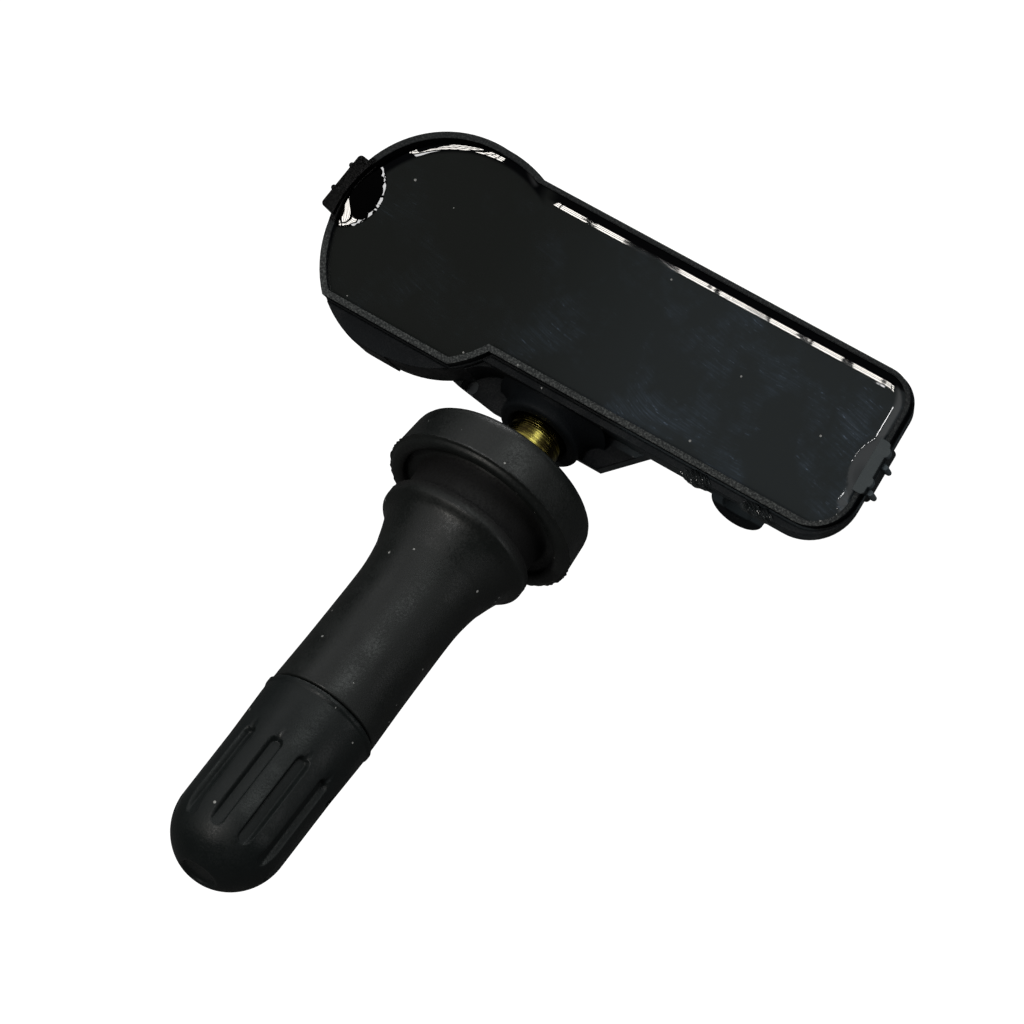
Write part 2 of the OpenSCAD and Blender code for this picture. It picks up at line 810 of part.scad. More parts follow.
module stem_brass() {
    ring = insert_end + 3.3;
    root_r = stem_thread_r - thread_depth;
    tapped_r = screw_r + fit_gap;
    air_r = 1.2;
    bore_r = plug_r + fit_gap;
    color([0.78, 0.64, 0.3]) difference() {
        turned(concat([[0, insert_end], [neck_r - 0.4, insert_end], [neck_r - 0.12, insert_end + 0.3],
            [neck_r - 0.12, ring - 0.3], [neck_r - 0.3, ring - 0.2], [neck_r - 0.3, ring],
            [neck_r, ring + 0.1]], moulded_outside(), [[root_r, thread_start]],
            thread(stem_thread_r, thread_depth, thread_start, stem_mouth - 0.4, stem_pitch),
            [[root_r, stem_mouth - 0.3], [root_r - 0.3, stem_mouth], [0, stem_mouth]]));
        turned([[0, insert_end - 1], [tapped_r, insert_end - 1],
            [tapped_r, insert_end + screw_hold + 0.6], [air_r, insert_end + screw_hold + 1.4],
            [air_r, chamber_start], [chamber_r, chamber_start + 0.8],
            [chamber_r, seat_start], [bore_r, seat_start + 1.2], [bore_r, stem_mouth - 0.4],
            [bore_r + 0.35, stem_mouth + 0.1], [0, stem_mouth + 0.1]]);
        on_stem() translate([0, 0, flange_back - 1.4]) rotate([90, 0, 0])
            cylinder(h = 5, r = air_r - 0.4);
    }
}

module stem_rubber() {
    seat_s = flange_front;
    recess = 0.9;
    lip_round = 0.35;
    back_round = 0.8;
    back_r = flange_r - 0.45;
    parting = flange_front - 0.52;
    color([0.16, 0.16, 0.165]) difference() {
        turned(concat(
            [[0, flange_back], [back_r - back_round, flange_back]],
            arc(back_r - back_round, flange_back + back_round, back_round, -90, -8),
            [[flange_r - 0.12, parting - 0.05], [flange_r, parting], [flange_r - 0.5, parting + 0.16]],
            arc(seat_r + lip_round, seat_s - lip_round, lip_round, 60, 170, 5),
            [[seat_r - 0.5, seat_s - recess], [groove_r + 0.3, seat_s - recess],
             [groove_r, seat_s - recess + 0.3], [groove_r, shoulder_back - 0.3],
             [groove_r + 0.3, shoulder_back], [shoulder_r - 0.15, shoulder_back],
             [shoulder_r, shoulder_back + 0.15]],
            arc(shoulder_r - 0.7, shoulder_back + 1.0, 0.7, 0, 80, 6),
            [for (i = [0 : 8]) let (u = i / 8, more = (shoulder_r - 1.0 - tube_r) * pow(1 - u, 2.4))
                [tube_r + more, shoulder_back + 2.1 + u * 8.5]],
            [[tube_r, shoulder_back + 15], [tube_r + 0.15, rubber_end - 0.3], [tube_r, rubber_end],
             [0, rubber_end]]));
        turned(concat([[0, flange_back - 1], [neck_r, flange_back - 1]], moulded_outside(),
            [[stem_thread_r - thread_depth, rubber_end + 1], [0, rubber_end + 1]]));
    }
}

module core_plug() {
    flat_w = 2.2;
    color([0.8, 0.7, 0.42]) difference() {
        turned(concat([[0, plug_start], [plug_r - 0.3, plug_start]],
            thread(plug_r, 0.25, plug_start + 0.1, plug_end - 1.9, core_pitch),
            [[plug_r - 0.25, plug_end - 1.8], [plug_r - 0.25, plug_end], [0, plug_end]]));
        on_stem() translate([0, 0, plug_start - 1]) cylinder(h = far_away, r = pin_r + 0.2);
        for (side = [-1, 1]) on_stem()
            translate([side * (flat_w / 2 + 2) - 2, -5, plug_end - 1.7]) cube([4, 10, 3]);
    }
}

module core_barrel() {
    hole_r = pin_r + run_gap;
    color([0.78, 0.68, 0.4]) difference() {
        turned([[0, barrel_start], [barrel_r - 0.2, barrel_start], [barrel_r, barrel_start + 0.2],
            [barrel_r, seat_start - 0.4], [seal_r, seat_start - 0.3], [seal_r, seat_start + 1.2],
            [barrel_r + 0.6, seat_start + 1.3], [barrel_r + 0.6, plug_start], [0, plug_start]]);
        turned([[0, barrel_start - 1], [hole_r, barrel_start - 1], [hole_r, barrel_start + 0.7],
            [barrel_bore, barrel_start + 0.7], [barrel_bore, plug_start - 0.6],
            [hole_r, plug_start - 0.6], [hole_r, plug_start + 1], [0, plug_start + 1]]);
    }
}

module core_barrel_seal() {
    out = chamber_r - 0.02;
    color([0.75, 0.2, 0.15]) turned([[seal_r, seat_start - 0.25], [out, seat_start - 0.25],
        [out, seat_start + 0.02], [chamber_r + 0.5, seat_start + 1.2], [seal_r, seat_start + 1.2]]);
}

module core_pin() {
    collar_r = barrel_bore - run_gap;
    low = barrel_start - cup_gap - cup_seal_t - cup_h;
    color([0.82, 0.74, 0.5]) turned([[0, low - 0.2], [pin_r, low - 0.2], [pin_r, pin_collar_s],
        [collar_r, pin_collar_s], [collar_r, pin_collar_s + 0.6], [pin_r, pin_collar_s + 0.6],
        [pin_r, pin_tip - 0.2], [pin_r - 0.2, pin_tip], [0, pin_tip]]);
}

module core_cup() {
    top = barrel_start - cup_gap - cup_seal_t;
    low = top - cup_h;
    r = 1.6;
    color([0.8, 0.7, 0.42]) turned([[pin_r, low], [r - 0.3, low], [r, low + 0.3], [r, top],
        [pin_r, top]]);
}

module core_cup_seal() {
    top = barrel_start - cup_gap;
    r = 1.5;
    color([0.12, 0.12, 0.12]) turned([[pin_r, top - cup_seal_t], [r, top - cup_seal_t],
        [r, top - 0.15], [r - 0.15, top], [pin_r, top]]);
}

module core_spring() {
    sides = 8;
    steps = 16;
    low = barrel_start + 0.7 + spring_wire;
    high = pin_collar_s - spring_wire;
    rings = spring_turns * steps;
    w = spring_wire - 0.006;
    points = [for (i = [0 : rings]) for (j = [0 : sides - 1])
        let (a = 360 * i / steps, b = 360 * j / sides, r = spring_r + w * cos(b))
        [r * cos(a), r * sin(a), low + (high - low) * i / rings + w * sin(b)]];
    skin = [for (i = [0 : rings - 1]) for (j = [0 : sides - 1])
        let (a = i * sides, b = a + sides, k = (j + 1) % sides) [a + j, a + k, b + k, b + j]];
    ends = [[for (j = [sides - 1 : -1 : 0]) j], [for (j = [0 : sides - 1]) rings * sides + j]];
    color([0.6, 0.6, 0.62]) on_stem() polyhedron(points, concat(skin, ends));
}

// One grip groove, cut straight along the cap
module grip_groove() {
    floor_r = cap_r - 0.55;
    h = 3;
    rotate([0, -90, 0]) translate([0, 0, -floor_r - h]) {
        translate([groove_low, 0, 0]) cylinder(h = h, r = groove_cut / 2);
        translate([groove_high, 0, 0]) cylinder(h = h, r = groove_cut / 2);
        translate([groove_low, -groove_cut / 2, 0]) cube([groove_high - groove_low, groove_cut, h]);
    }
}

module cap() {
    flat_r = cap_r * sqrt(1 - pow((cap_tip - dome_start) / dome_len, 2));
    hollow_r = 2.7;
    cone = 1.4;
    seal_end = cap_seal_s + cap_seal_t;
    hollow_end = (seal_end + cap_tip) / 2 + 0.4;
    color([0.14, 0.14, 0.145]) difference() {
        turned(concat([[0, cap_mouth], [cap_lip_r - 0.15, cap_mouth], [cap_lip_r, cap_mouth + 0.15],
            [cap_lip_r, cap_mouth + 0.45], [cap_r + 0.1, cap_mouth + 0.8]],
            [for (i = [0 : 12]) let (s = dome_start + (cap_tip - dome_start) * i / 12)
                [cap_r * sqrt(1 - pow((s - dome_start) / dome_len, 2)), s]],
            [[flat_r - 0.25, cap_tip], [flat_r - 0.4, cap_tip - 0.3], [0, cap_tip - 0.3]]));
        turned([[0, cap_mouth - 1], [cap_bore + 0.5, cap_mouth - 1], [cap_bore, cap_mouth + 0.5],
            [cap_bore, seal_end], [hollow_r, seal_end], [hollow_r, hollow_end - cone],
            [hollow_r - cone, hollow_end], [0, hollow_end]]);
        on_stem() for (k = [0 : cap_grooves - 1])
            rotate(first_groove + k * 360 / cap_grooves) grip_groove();
    }
}

module cap_seal() {
    hole_r = 1.5;
    end = cap_seal_s + cap_seal_t;
    color([0.1, 0.1, 0.1]) turned([[hole_r, cap_seal_s], [cap_bore, cap_seal_s], [cap_bore, end],
        [hole_r, end]]);
}

housing();
potting();
circuit_board();
coin_cell();
battery_tab_positive();
battery_tab_negative();
sensor_chip();
radio_chip();
port_gasket();
port_filter();
antenna();
coil_core();
coil_winding();
crystal();
capacitors();
resistors();
mounting_screw();
stem_brass();
stem_rubber();
core_plug();
core_barrel();
core_barrel_seal();
core_pin();
core_cup();
core_cup_seal();
core_spring();
cap();
cap_seal();
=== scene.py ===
"""Looks of a tyre pressure sensor with a snap-in rubber valve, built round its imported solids.

Lengths in the classes are millimetres. Two frames are used: the housing's flat frame, with x along
the arm and z out of the potted face, and the stem's frame, with a station along the stem axis that
grows towards the cap. Both are turned into the part's own frame, in metres, as meshes are made.
"""

import json
import logging
import math
from dataclasses import dataclass
from enum import Enum
from functools import lru_cache, reduce

import bpy
import numpy as np
from mathutils import Matrix, Vector

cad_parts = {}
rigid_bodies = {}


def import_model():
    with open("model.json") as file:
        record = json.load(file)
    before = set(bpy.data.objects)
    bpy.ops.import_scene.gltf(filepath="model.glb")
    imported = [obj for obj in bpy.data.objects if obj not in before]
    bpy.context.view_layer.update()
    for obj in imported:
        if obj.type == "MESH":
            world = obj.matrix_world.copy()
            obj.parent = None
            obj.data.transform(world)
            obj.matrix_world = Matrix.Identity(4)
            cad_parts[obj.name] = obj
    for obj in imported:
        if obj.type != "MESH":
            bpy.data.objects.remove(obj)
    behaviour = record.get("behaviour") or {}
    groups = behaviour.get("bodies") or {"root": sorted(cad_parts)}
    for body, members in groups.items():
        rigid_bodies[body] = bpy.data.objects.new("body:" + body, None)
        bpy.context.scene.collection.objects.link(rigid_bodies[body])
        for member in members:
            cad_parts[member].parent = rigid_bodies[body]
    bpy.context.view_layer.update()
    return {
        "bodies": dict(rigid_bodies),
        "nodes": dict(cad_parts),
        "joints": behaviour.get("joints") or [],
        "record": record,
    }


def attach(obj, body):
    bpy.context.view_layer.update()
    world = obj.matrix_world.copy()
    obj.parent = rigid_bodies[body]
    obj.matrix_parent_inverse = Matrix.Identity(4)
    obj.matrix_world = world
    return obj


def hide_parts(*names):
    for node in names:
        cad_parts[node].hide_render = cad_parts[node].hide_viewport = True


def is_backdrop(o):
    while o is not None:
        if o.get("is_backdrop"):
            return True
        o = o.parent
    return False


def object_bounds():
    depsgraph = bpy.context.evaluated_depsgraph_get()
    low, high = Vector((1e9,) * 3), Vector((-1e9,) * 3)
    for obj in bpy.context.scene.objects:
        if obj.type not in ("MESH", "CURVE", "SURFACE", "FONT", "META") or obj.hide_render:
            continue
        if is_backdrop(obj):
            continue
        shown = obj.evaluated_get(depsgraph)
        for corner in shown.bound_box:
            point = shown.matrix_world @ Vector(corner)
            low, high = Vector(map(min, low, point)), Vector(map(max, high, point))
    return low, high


Node = bpy.types.Node
Socket = bpy.types.NodeSocket
Thing = bpy.types.Object
Pair = tuple[float, float]
Point = tuple[float, float, float]
Colour = tuple[float, float, float]
Corner = tuple[float, float, float]
Oval = tuple[float, float, float, float]

MM = 0.001
ALONG = Vector((1, 0, 0))
LOG = logging.getLogger("sensor")

# Ovals in the flat frame, each a middle and two half sizes: the resin's mounds beside the round
# end's lug and beside the arm end's lug, and the film on the wall by the first of them. The first
# two also bound the painted dark reflection and the painted reflection tone on the resin, and the
# third the film, which is painted darker than the resin as a dark reflection.
POOL: Oval = (-11.6, 1.7, 3.55, 3.9)
SLOPE: Oval = (44.2, 2.2, 2.75, 3.7)
FILM: Oval = (-11.2, 1.7, 2.9, 3.5)


# ---------------------------------------------------------------- frames and meshes


@dataclass(frozen=True)
class HousingFrame:
    """The housing's flat frame: its origin in the part's frame, and its tilt about X."""

    origin: Point = (-14.56, 18.12, 8.22)
    tilt: float = 24.8

    def place(self, x: np.ndarray, y: np.ndarray, z: np.ndarray) -> np.ndarray:
        """Turns points of the flat frame into the part's frame: a turn about X, then a shift.

        Args:
            x: Along the arm, in millimetres.
            y: Away from the stem.
            z: Out of the potted face.

        Returns:
            An array of points in metres, with the coordinates last.
        """
        c, s = math.cos(math.radians(self.tilt)), math.sin(math.radians(self.tilt))
        ox, oy, oz = self.origin
        return np.stack((x + ox, c * y - s * z + oy, s * y + c * z + oz), -1) * MM

    def mapping(self, tree: "Tree") -> Socket:
        """Object coordinates turned back into the flat frame, in millimetres.

        Args:
            tree: The material's nodes.

        Returns:
            The socket with the turned coordinates.
        """
        shift = tree.vector("SUBTRACT", tree.coordinates(), [c * MM for c in self.origin])
        turn = tree.add("ShaderNodeVectorRotate", rotation_type="X_AXIS")
        tree.fill(turn, Vector=shift, Angle=-math.radians(self.tilt))
        return tree.vector("SCALE", turn.outputs[0], scale=1 / MM)

    def measures(self, tree: "Tree") -> dict[str, Socket]:
        """Numbers that place a point on the housing, for the masks of its finishes.

        Args:
            tree: The material's nodes.

        Returns:
            The coordinates together and one by one, the distance from the lobe's middle, the
            distances from three ovals' middles in half sizes, and a noise for the rim's painted
            glint.
        """
        at = self.mapping(tree)
        x, y, z = tree.split(at)
        return {"at": at, "x": x, "y": y, "z": z, "r": tree.length(x, y),
                "pool": tree.oval(x, y, POOL), "slope": tree.oval(x, y, SLOPE),
                "film": tree.oval(x, y, FILM), "glint": tree.noise(at, 5.0, 2.0, 0.8)}


FLAT = HousingFrame()


def on_stem(radius: np.ndarray, angle: np.ndarray, station: np.ndarray) -> np.ndarray:
    """Points round the stem axis: x is r cos a, y is minus the station, z is r sin a.

    Args:
        radius: Distance from the stem axis, in millimetres.
        angle: Angle round the axis, in radians.
        station: Distance along the axis from the groove, positive towards the cap.

    Returns:
        An array of points in metres, with the coordinates last.
    """
    return np.stack((radius * np.cos(angle), 0 * angle - station, radius * np.sin(angle)), -1) * MM


def make_mesh(name: str, points: np.ndarray, faces: list[np.ndarray],
              sharp: float = 35.0) -> Thing:
    """A smooth-shaded object from points and face arrays, with its faces turned outwards.

    Args:
        name: Name of the piece.
        points: Points in metres, one row each.
        faces: Arrays of point numbers, one row a face; each array has faces of one size.
        sharp: Angle in degrees above which an edge stays sharp.

    Returns:
        The new object, at the origin.
    """
    sizes = np.concatenate([np.full(len(f), f.shape[1]) for f in faces])
    corners = np.concatenate([f.reshape(-1) for f in faces])
    mesh = bpy.data.meshes.new(name)
    mesh.vertices.add(len(points))
    mesh.vertices.foreach_set("co", points.astype(np.float32).reshape(-1))
    mesh.loops.add(len(corners))
    mesh.loops.foreach_set("vertex_index", corners.astype(np.int32))
    mesh.polygons.add(len(sizes))
    starts = np.concatenate(([0], np.cumsum(sizes)[:-1]))
    mesh.polygons.foreach_set("loop_start", starts.astype(np.int32))
    mesh.polygons.foreach_set("loop_total", sizes.astype(np.int32))
    mesh.update(calc_edges=True)
    mesh.validate()
    if signed_volume(mesh) < 0:
        mesh.flip_normals()
    mesh.set_sharp_from_angle(angle=math.radians(sharp))
    thing = bpy.data.objects.new(name, mesh)
    bpy.context.scene.collection.objects.link(thing)
    return thing


def signed_volume(mesh: bpy.types.Mesh) -> float:
    """Volume in a closed mesh, below 0 if its faces point inwards: the sum of a.(b x c) / 6.

    Args:
        mesh: The closed mesh.

    Returns:
        The volume, in cubic metres.
    """
    mesh.calc_loop_triangles()
    n = len(mesh.loop_triangles)
    corners = np.zeros(n * 3, np.int32)
    mesh.loop_triangles.foreach_get("vertices", corners)
    co = np.zeros(len(mesh.vertices) * 3, np.float32)
    mesh.vertices.foreach_get("co", co)
    a, b, c = co.reshape(-1, 3)[corners.reshape(-1, 3)].astype(float).transpose(1, 0, 2)
    return float((a * np.cross(b, c)).sum() / 6)


def quads(rows: int, cols: int, wrap_rows: bool, wrap_cols: bool, first: int = 0) -> np.ndarray:
    """Faces of a grid of points, which may close on itself either way.

    Args:
        rows: Number of rows of points.
        cols: Number of points in a row.
        wrap_rows: Whether the last row joins the first.
        wrap_cols: Whether each row closes.
        first: Number of the grid's first point.

    Returns:
        Four point numbers for each face.
    """
    i = np.arange(rows if wrap_rows else rows - 1)[:, None]
    j = np.arange(cols if wrap_cols else cols - 1)[None, :]
    i2, j2 = (i + 1) % rows, (j + 1) % cols
    loops = np.broadcast_arrays(i * cols + j, i * cols + j2, i2 * cols + j2, i2 * cols + j)
    return np.stack(loops, -1).reshape(-1, 4) + first


def fan(centre: int, ring: np.ndarray) -> np.ndarray:
    """Triangles from one point to a closed ring of points."""
    return np.stack((np.full(len(ring), centre), ring, np.roll(ring, -1)), -1)


def capped(rows: int, cols: int) -> list[np.ndarray]:
    """Faces of a grid whose rows close, with a fan at each end to one of two more points."""
    first, last = np.arange(cols)[::-1], np.arange(cols) + (rows - 1) * cols
    return [quads(rows, cols, False, True), fan(rows * cols, first), fan(rows * cols + 1, last)]


def filleted(corners: list[Corner], steps: int = 6) -> np.ndarray:
    """A path with rounded corners: each corner is cut back and bridged by a parabola.

    Args:
        corners: Station, radius and rounding of each corner.
        steps: Points on each rounding.

    Returns:
        The points of the path.
    """
    p = np.array(corners, float)
    out = [p[0, :2]]
    for k in range(1, len(p) - 1):
        here, cut = p[k, :2], p[k, 2]
        if cut <= 0:
            out.append(here)
            continue
        back, on = p[k - 1, :2] - here, p[k + 1, :2] - here
        start, end = (here + way / np.linalg.norm(way) * min(cut, np.linalg.norm(way) / 2)
                      for way in (back, on))
        for t in np.linspace(0, 1, steps):
            out.append((1 - t) ** 2 * start + 2 * t * (1 - t) * here + t ** 2 * end)
    out.append(p[-1, :2])
    return np.array(out)


def flowing(knots: list[Pair], steps: int) -> np.ndarray:
    """A smooth curve through knots: a cubic on each span, with the slope of its neighbours.

    Args:
        knots: Points that the curve goes through.
        steps: Points on each span.

    Returns:
        The points of the curve.
    """
    p = np.array(knots, float)
    m = np.gradient(p, axis=0)
    t = np.linspace(0, 1, steps, endpoint=False)[:, None]
    spans = [(2 * t ** 3 - 3 * t ** 2 + 1) * p[k] + (t ** 3 - 2 * t ** 2 + t) * m[k]
             + (3 * t ** 2 - 2 * t ** 3) * p[k + 1] + (t ** 3 - t ** 2) * m[k + 1]
             for k in range(len(p) - 1)]
    return np.concatenate(spans + [p[-1:]])


def spaced(path: np.ndarray, step: float) -> np.ndarray:
    """Adds points to a path so that none lie further apart than a step.

    Args:
        path: Points of the path, one row each.
        step: Longest distance between two points.

    Returns:
        The points of the finer path.
    """
    lengths = np.linalg.norm(np.diff(path, axis=0), axis=1)
    parts = [np.linspace(path[k], path[k + 1], max(1, math.ceil(n / step)), endpoint=False)
             for k, n in enumerate(lengths)]
    return np.concatenate(parts + [path[-1:]])


def lathe(path: np.ndarray, columns: int) -> tuple[np.ndarray, np.ndarray, np.ndarray]:
    """Angles in a row, and a profile's stations and radii in columns, for a lathe surface."""
    angle = np.linspace(0, 2 * np.pi, columns, endpoint=False)[None, :]
    return angle, path[:, :1], path[:, 1:]


def ripple(angle: np.ndarray, seed: int, low: int, high: int) -> np.ndarray:
    """An uneven wave round a ring: a sum of cosines with random heights and phases.

    Args:
        angle: Angles round the ring.
        seed: Start of the random numbers.
        low: Waves round the ring of the slowest cosine.
        high: One more than those of the fastest.

    Returns:
        The wave at each angle, within -1 and 1.
    """
    rng = np.random.default_rng(seed)
    counts = np.arange(low, high)
    heights = rng.normal(size=len(counts)) / np.sqrt(len(counts))
    phases = rng.uniform(0, 2 * np.pi, len(counts))
    return np.tanh((heights * np.cos(counts * angle[..., None] + phases)).sum(-1))


def ramp(x: np.ndarray, low: float, high: float) -> np.ndarray:
    """Rises smoothly from 0 at low to 1 at high."""
    t = np.clip((x - low) / (high - low), 0, 1)
    return t * t * (3 - 2 * t)


# ---------------------------------------------------------------- shader nodes


class Tree:
    """Adds and joins the nodes of a material or a group in few words."""

    def __init__(self, nodes: bpy.types.NodeTree) -> None:
        """Keeps the node tree that is built."""
        self.nodes = nodes

    def add(self, kind: str, **settings: object) -> Node:
        """Adds a node and sets its properties."""
        node = self.nodes.nodes.new(kind)
        for key, value in settings.items():
            setattr(node, key, value)
        return node

    def put(self, socket: Socket, value: object) -> None:
        """Joins a socket to another, or sets its value."""
        if isinstance(value, Socket):
            self.nodes.links.new(value, socket)
        elif value is not None:
            socket.default_value = value

    def fill(self, node: Node, **values: object) -> Node:
        """Fills a node's inputs by name; an underscore in a name stands for a space."""
        for key, value in values.items():
            self.put(node.inputs[key.replace("_", " ")], value)
        return node

    def coordinates(self) -> Socket:
        """The piece's own coordinates, in metres."""
        return self.add("ShaderNodeTexCoord").outputs["Object"]

    def math(self, operation: str, *values: object) -> Socket:
        """A step on one, two or three numbers."""
        node = self.add("ShaderNodeMath", operation=operation)
        for socket, value in zip(node.inputs, values):
            self.put(socket, value)
        return node.outputs[0]

    def times(self, first: object, *others: object) -> Socket:
        """The product of two or more numbers."""
        for other in others:
            first = self.math("MULTIPLY", first, other)
        return first

    def line(self, value: object, slope: object, start: object) -> Socket:
        """A number times a slope, plus a start."""
        return self.math("MULTIPLY_ADD", value, slope, start)

    def most(self, a: object, b: object) -> Socket:
        """The greater of two numbers."""
        return self.math("MAXIMUM", a, b)

    def vector(self, operation: str, a: object, b: object = None, scale: object = None) -> Socket:
        """A step on vectors."""
        node = self.add("ShaderNodeVectorMath", operation=operation)
        for socket, value in zip(node.inputs, (a, b)):
            self.put(socket, value)
        if scale is not None:
            self.put(node.inputs["Scale"], scale)
        return node.outputs["Value" if operation == "LENGTH" else "Vector"]

    def noise(self, vector: object, scale: object, detail: float = 3.0,
              roughness: float = 0.55) -> Socket:
        """Cloudy noise between 0 and 1."""
        node = self.add("ShaderNodeTexNoise")
        self.fill(node, Vector=vector, Scale=scale, Detail=detail, Roughness=roughness)
        return node.outputs["Fac"]

    def cells(self, vector: object, scale: object) -> tuple[Socket, Socket]:
        """Distance to the nearest of many scattered points, and that point's colour."""
        node = self.fill(self.add("ShaderNodeTexVoronoi"), Vector=vector, Scale=scale)
        return node.outputs["Distance"], node.outputs["Color"]

    def between(self, value: object, low: object, high: object, to_low: object = 0.0,
                to_high: object = 1.0) -> Socket:
        """Maps a range smoothly onto another, and stops at its ends."""
        node = self.add("ShaderNodeMapRange", interpolation_type="SMOOTHSTEP")
        for socket, v in zip(node.inputs, (value, low, high, to_low, to_high)):
            self.put(socket, v)
        return node.outputs["Result"]

    def split(self, vector: object) -> tuple[Socket, ...]:
        """The three numbers of a vector."""
        return tuple(self.fill(self.add("ShaderNodeSeparateXYZ"), Vector=vector).outputs)

    def join(self, x: object, y: object, z: object = 0.0) -> Socket:
        """A vector of three numbers."""
        return self.fill(self.add("ShaderNodeCombineXYZ"), X=x, Y=y, Z=z).outputs[0]

    def length(self, x: object, y: object) -> Socket:
        """Distance of a point in a plane from the plane's middle."""
        return self.vector("LENGTH", self.join(x, y))

    def oval(self, x: object, y: object, oval: Oval) -> Socket:
        """Distance from an oval's middle, where 1 is the oval itself."""
        mid_x, mid_y, half_x, half_y = oval
        return self.length(self.math("DIVIDE", self.math("SUBTRACT", x, mid_x), half_x),
                           self.math("DIVIDE", self.math("SUBTRACT", y, mid_y), half_y))

    def blend(self, share: object, a: object, b: object) -> Socket:
        """Mixes two colours."""
        node = self.add("ShaderNodeMix", data_type="RGBA")
        for key, value in ((0, share), (6, a), (7, b)):
            self.put(node.inputs[key], value)
        return node.outputs[2]

    def bump(self, height: object, distance: float, strength: object = 1.0,
             normal: object = None) -> Socket:
        """Relief from a height, in metres at full height."""
        return self.fill(self.add("ShaderNodeBump"), Strength=strength, Distance=distance,
                         Height=height, Normal=normal).outputs[0]

    def group(self, made: bpy.types.NodeTree, **values: object) -> Node:
        """Places a node group and fills its inputs."""
        return self.fill(self.add("ShaderNodeGroup", node_tree=made), **values)


class Effect:
    """The node groups that several finishes share, each made the first time it is asked for."""

    @staticmethod
    def start(name: str, inputs: dict[str, object], outputs: dict[str, str]
              ) -> tuple[Tree, dict[str, Socket], Node]:
        """Makes an empty group.

        Args:
            name: Name of the group.
            inputs: Each input's name and usual value; a tuple makes a vector.
            outputs: Each output's name and kind, such as Float.

        Returns:
            The group's nodes, its inputs by name and its output node.
        """
        tree = Tree(bpy.data.node_groups.new(name, "ShaderNodeTree"))
        face = tree.nodes.interface
        for key, value in inputs.items():
            kind = "NodeSocketVector" if isinstance(value, tuple) else "NodeSocketFloat"
            face.new_socket(key, in_out="INPUT", socket_type=kind).default_value = value
        for key, kind in outputs.items():
            face.new_socket(key, in_out="OUTPUT", socket_type="NodeSocket" + kind)
        given = tree.add("NodeGroupInput")
        return tree, {k: given.outputs[k] for k in inputs}, tree.add("NodeGroupOutput")

    @classmethod
    @lru_cache(maxsize=None)
    def moulded(cls) -> bpy.types.NodeTree:
        """Texture of a moulded surface: a fine noise on soft wide waves, with eased edges.

        Returns:
            The group, whose Tone runs from dark to pale with the texture.
        """
        tree, given, out = cls.start("Moulded", {"Grain per metre": 9000.0, "Depth": 1.0},
                                     {"Normal": "Vector", "Tone": "Float"})
        at, grain = tree.coordinates(), given["Grain per metre"]
        fine = tree.noise(at, grain, 2.0, 0.6)
        wide = tree.noise(at, tree.times(grain, 0.06))
        edge = tree.fill(tree.add("ShaderNodeBevel", samples=6), Radius=0.16 * MM).outputs[0]
        relief = tree.bump(tree.line(wide, 1.6, fine), 0.03 * MM, given["Depth"], edge)
        tree.fill(out, Normal=relief, Tone=tree.line(fine, 0.45, tree.times(wide, 0.55)))
        return tree.nodes

    @classmethod
    @lru_cache(maxsize=None)
    def dust(cls) -> bpy.types.NodeTree:
        """Sparse specks: the middles of cells, kept where their own random number is low.

        Returns:
            The group, whose Mask is 1 on a speck.
        """
        tree, given, out = cls.start("Dust", {"Specks per metre": 900.0, "Share": 0.1},
                                     {"Mask": "Float"})
        near, colour = tree.cells(tree.coordinates(), given["Specks per metre"])
        red, green, _ = tree.split(colour)
        kept = tree.math("LESS_THAN", red, given["Share"])
        spot = tree.math("LESS_THAN", near, tree.line(green, 0.08, 0.05))
        tree.fill(out, Mask=tree.times(kept, spot))
        return tree.nodes

    @classmethod
    @lru_cache(maxsize=None)
    def wipes(cls) -> bpy.types.NodeTree:
        """Smears of a cloth: noise drawn out along slightly bent lines, in cloudy patches.

        Returns:
            The group, with a Mask of the smears and one of the short flecks in them.
        """
        tree, given, out = cls.start(
            "Wipes", {"Along": (0.0, 0.0, 0.0), "Patch size": 0.13, "Streak": 6.0},
            {"Mask": "Float", "Flecks": "Float"})
        along = given["Along"]
        turn = tree.add("ShaderNodeVectorRotate", rotation_type="Z_AXIS")
        x, y, z = tree.split(tree.fill(turn, Vector=along, Angle=math.radians(8)).outputs[0])
        y = tree.line(tree.noise(along, 0.06, 1.0), 5.0, y)
        drawn = tree.join(tree.times(x, 0.3), tree.times(y, given["Streak"]), z)
        streaks = tree.between(tree.noise(drawn, 1.0, 3.0, 0.7), 0.42, 0.7)
        patches = tree.between(tree.noise(along, given["Patch size"], 5.0, 0.65), 0.48, 0.68)
        short = tree.noise(tree.join(tree.times(x, 1.1), tree.times(y, 5.0), z), 1.0, 2.0, 0.7)
        tree.fill(out, Mask=tree.times(patches, tree.line(streaks, 0.7, 0.3)),
                  Flecks=tree.between(short, 0.6, 0.78))
        return tree.nodes

    @classmethod
    @lru_cache(maxsize=None)
    def turned(cls) -> bpy.types.NodeTree:
        """Marks of a lathe: noise that changes fast along the stem axis and slowly round it.

        Returns:
            The group, with the marks' relief and their tone.
        """
        tree, given, out = cls.start("Turned", {"Lines per metre": 9000.0, "Depth": 0.5},
                                     {"Normal": "Vector", "Tone": "Float"})
        x, y, z = tree.split(tree.coordinates())
        lines = tree.noise(tree.join(tree.times(x, 0.02), y, tree.times(z, 0.02)),
                           given["Lines per metre"], 3.0, 0.7)
        tree.fill(out, Normal=tree.bump(lines, 0.02 * MM, given["Depth"]), Tone=lines)
        return tree.nodes


# ---------------------------------------------------------------- finishes


def new_material(name: str) -> tuple[bpy.types.Material, Tree, Node]:
    """A material, its nodes and its surface shader."""
    made = bpy.data.materials.new(name)
    made.use_nodes = True
    return made, Tree(made.node_tree), made.node_tree.nodes["Principled BSDF"]


def shaded(colour: Colour, share: float = 1.0) -> tuple[float, float, float, float]:
    """A colour scaled by a share, with full cover."""
    return (*[min(1.0, c * share) for c in colour], 1.0)


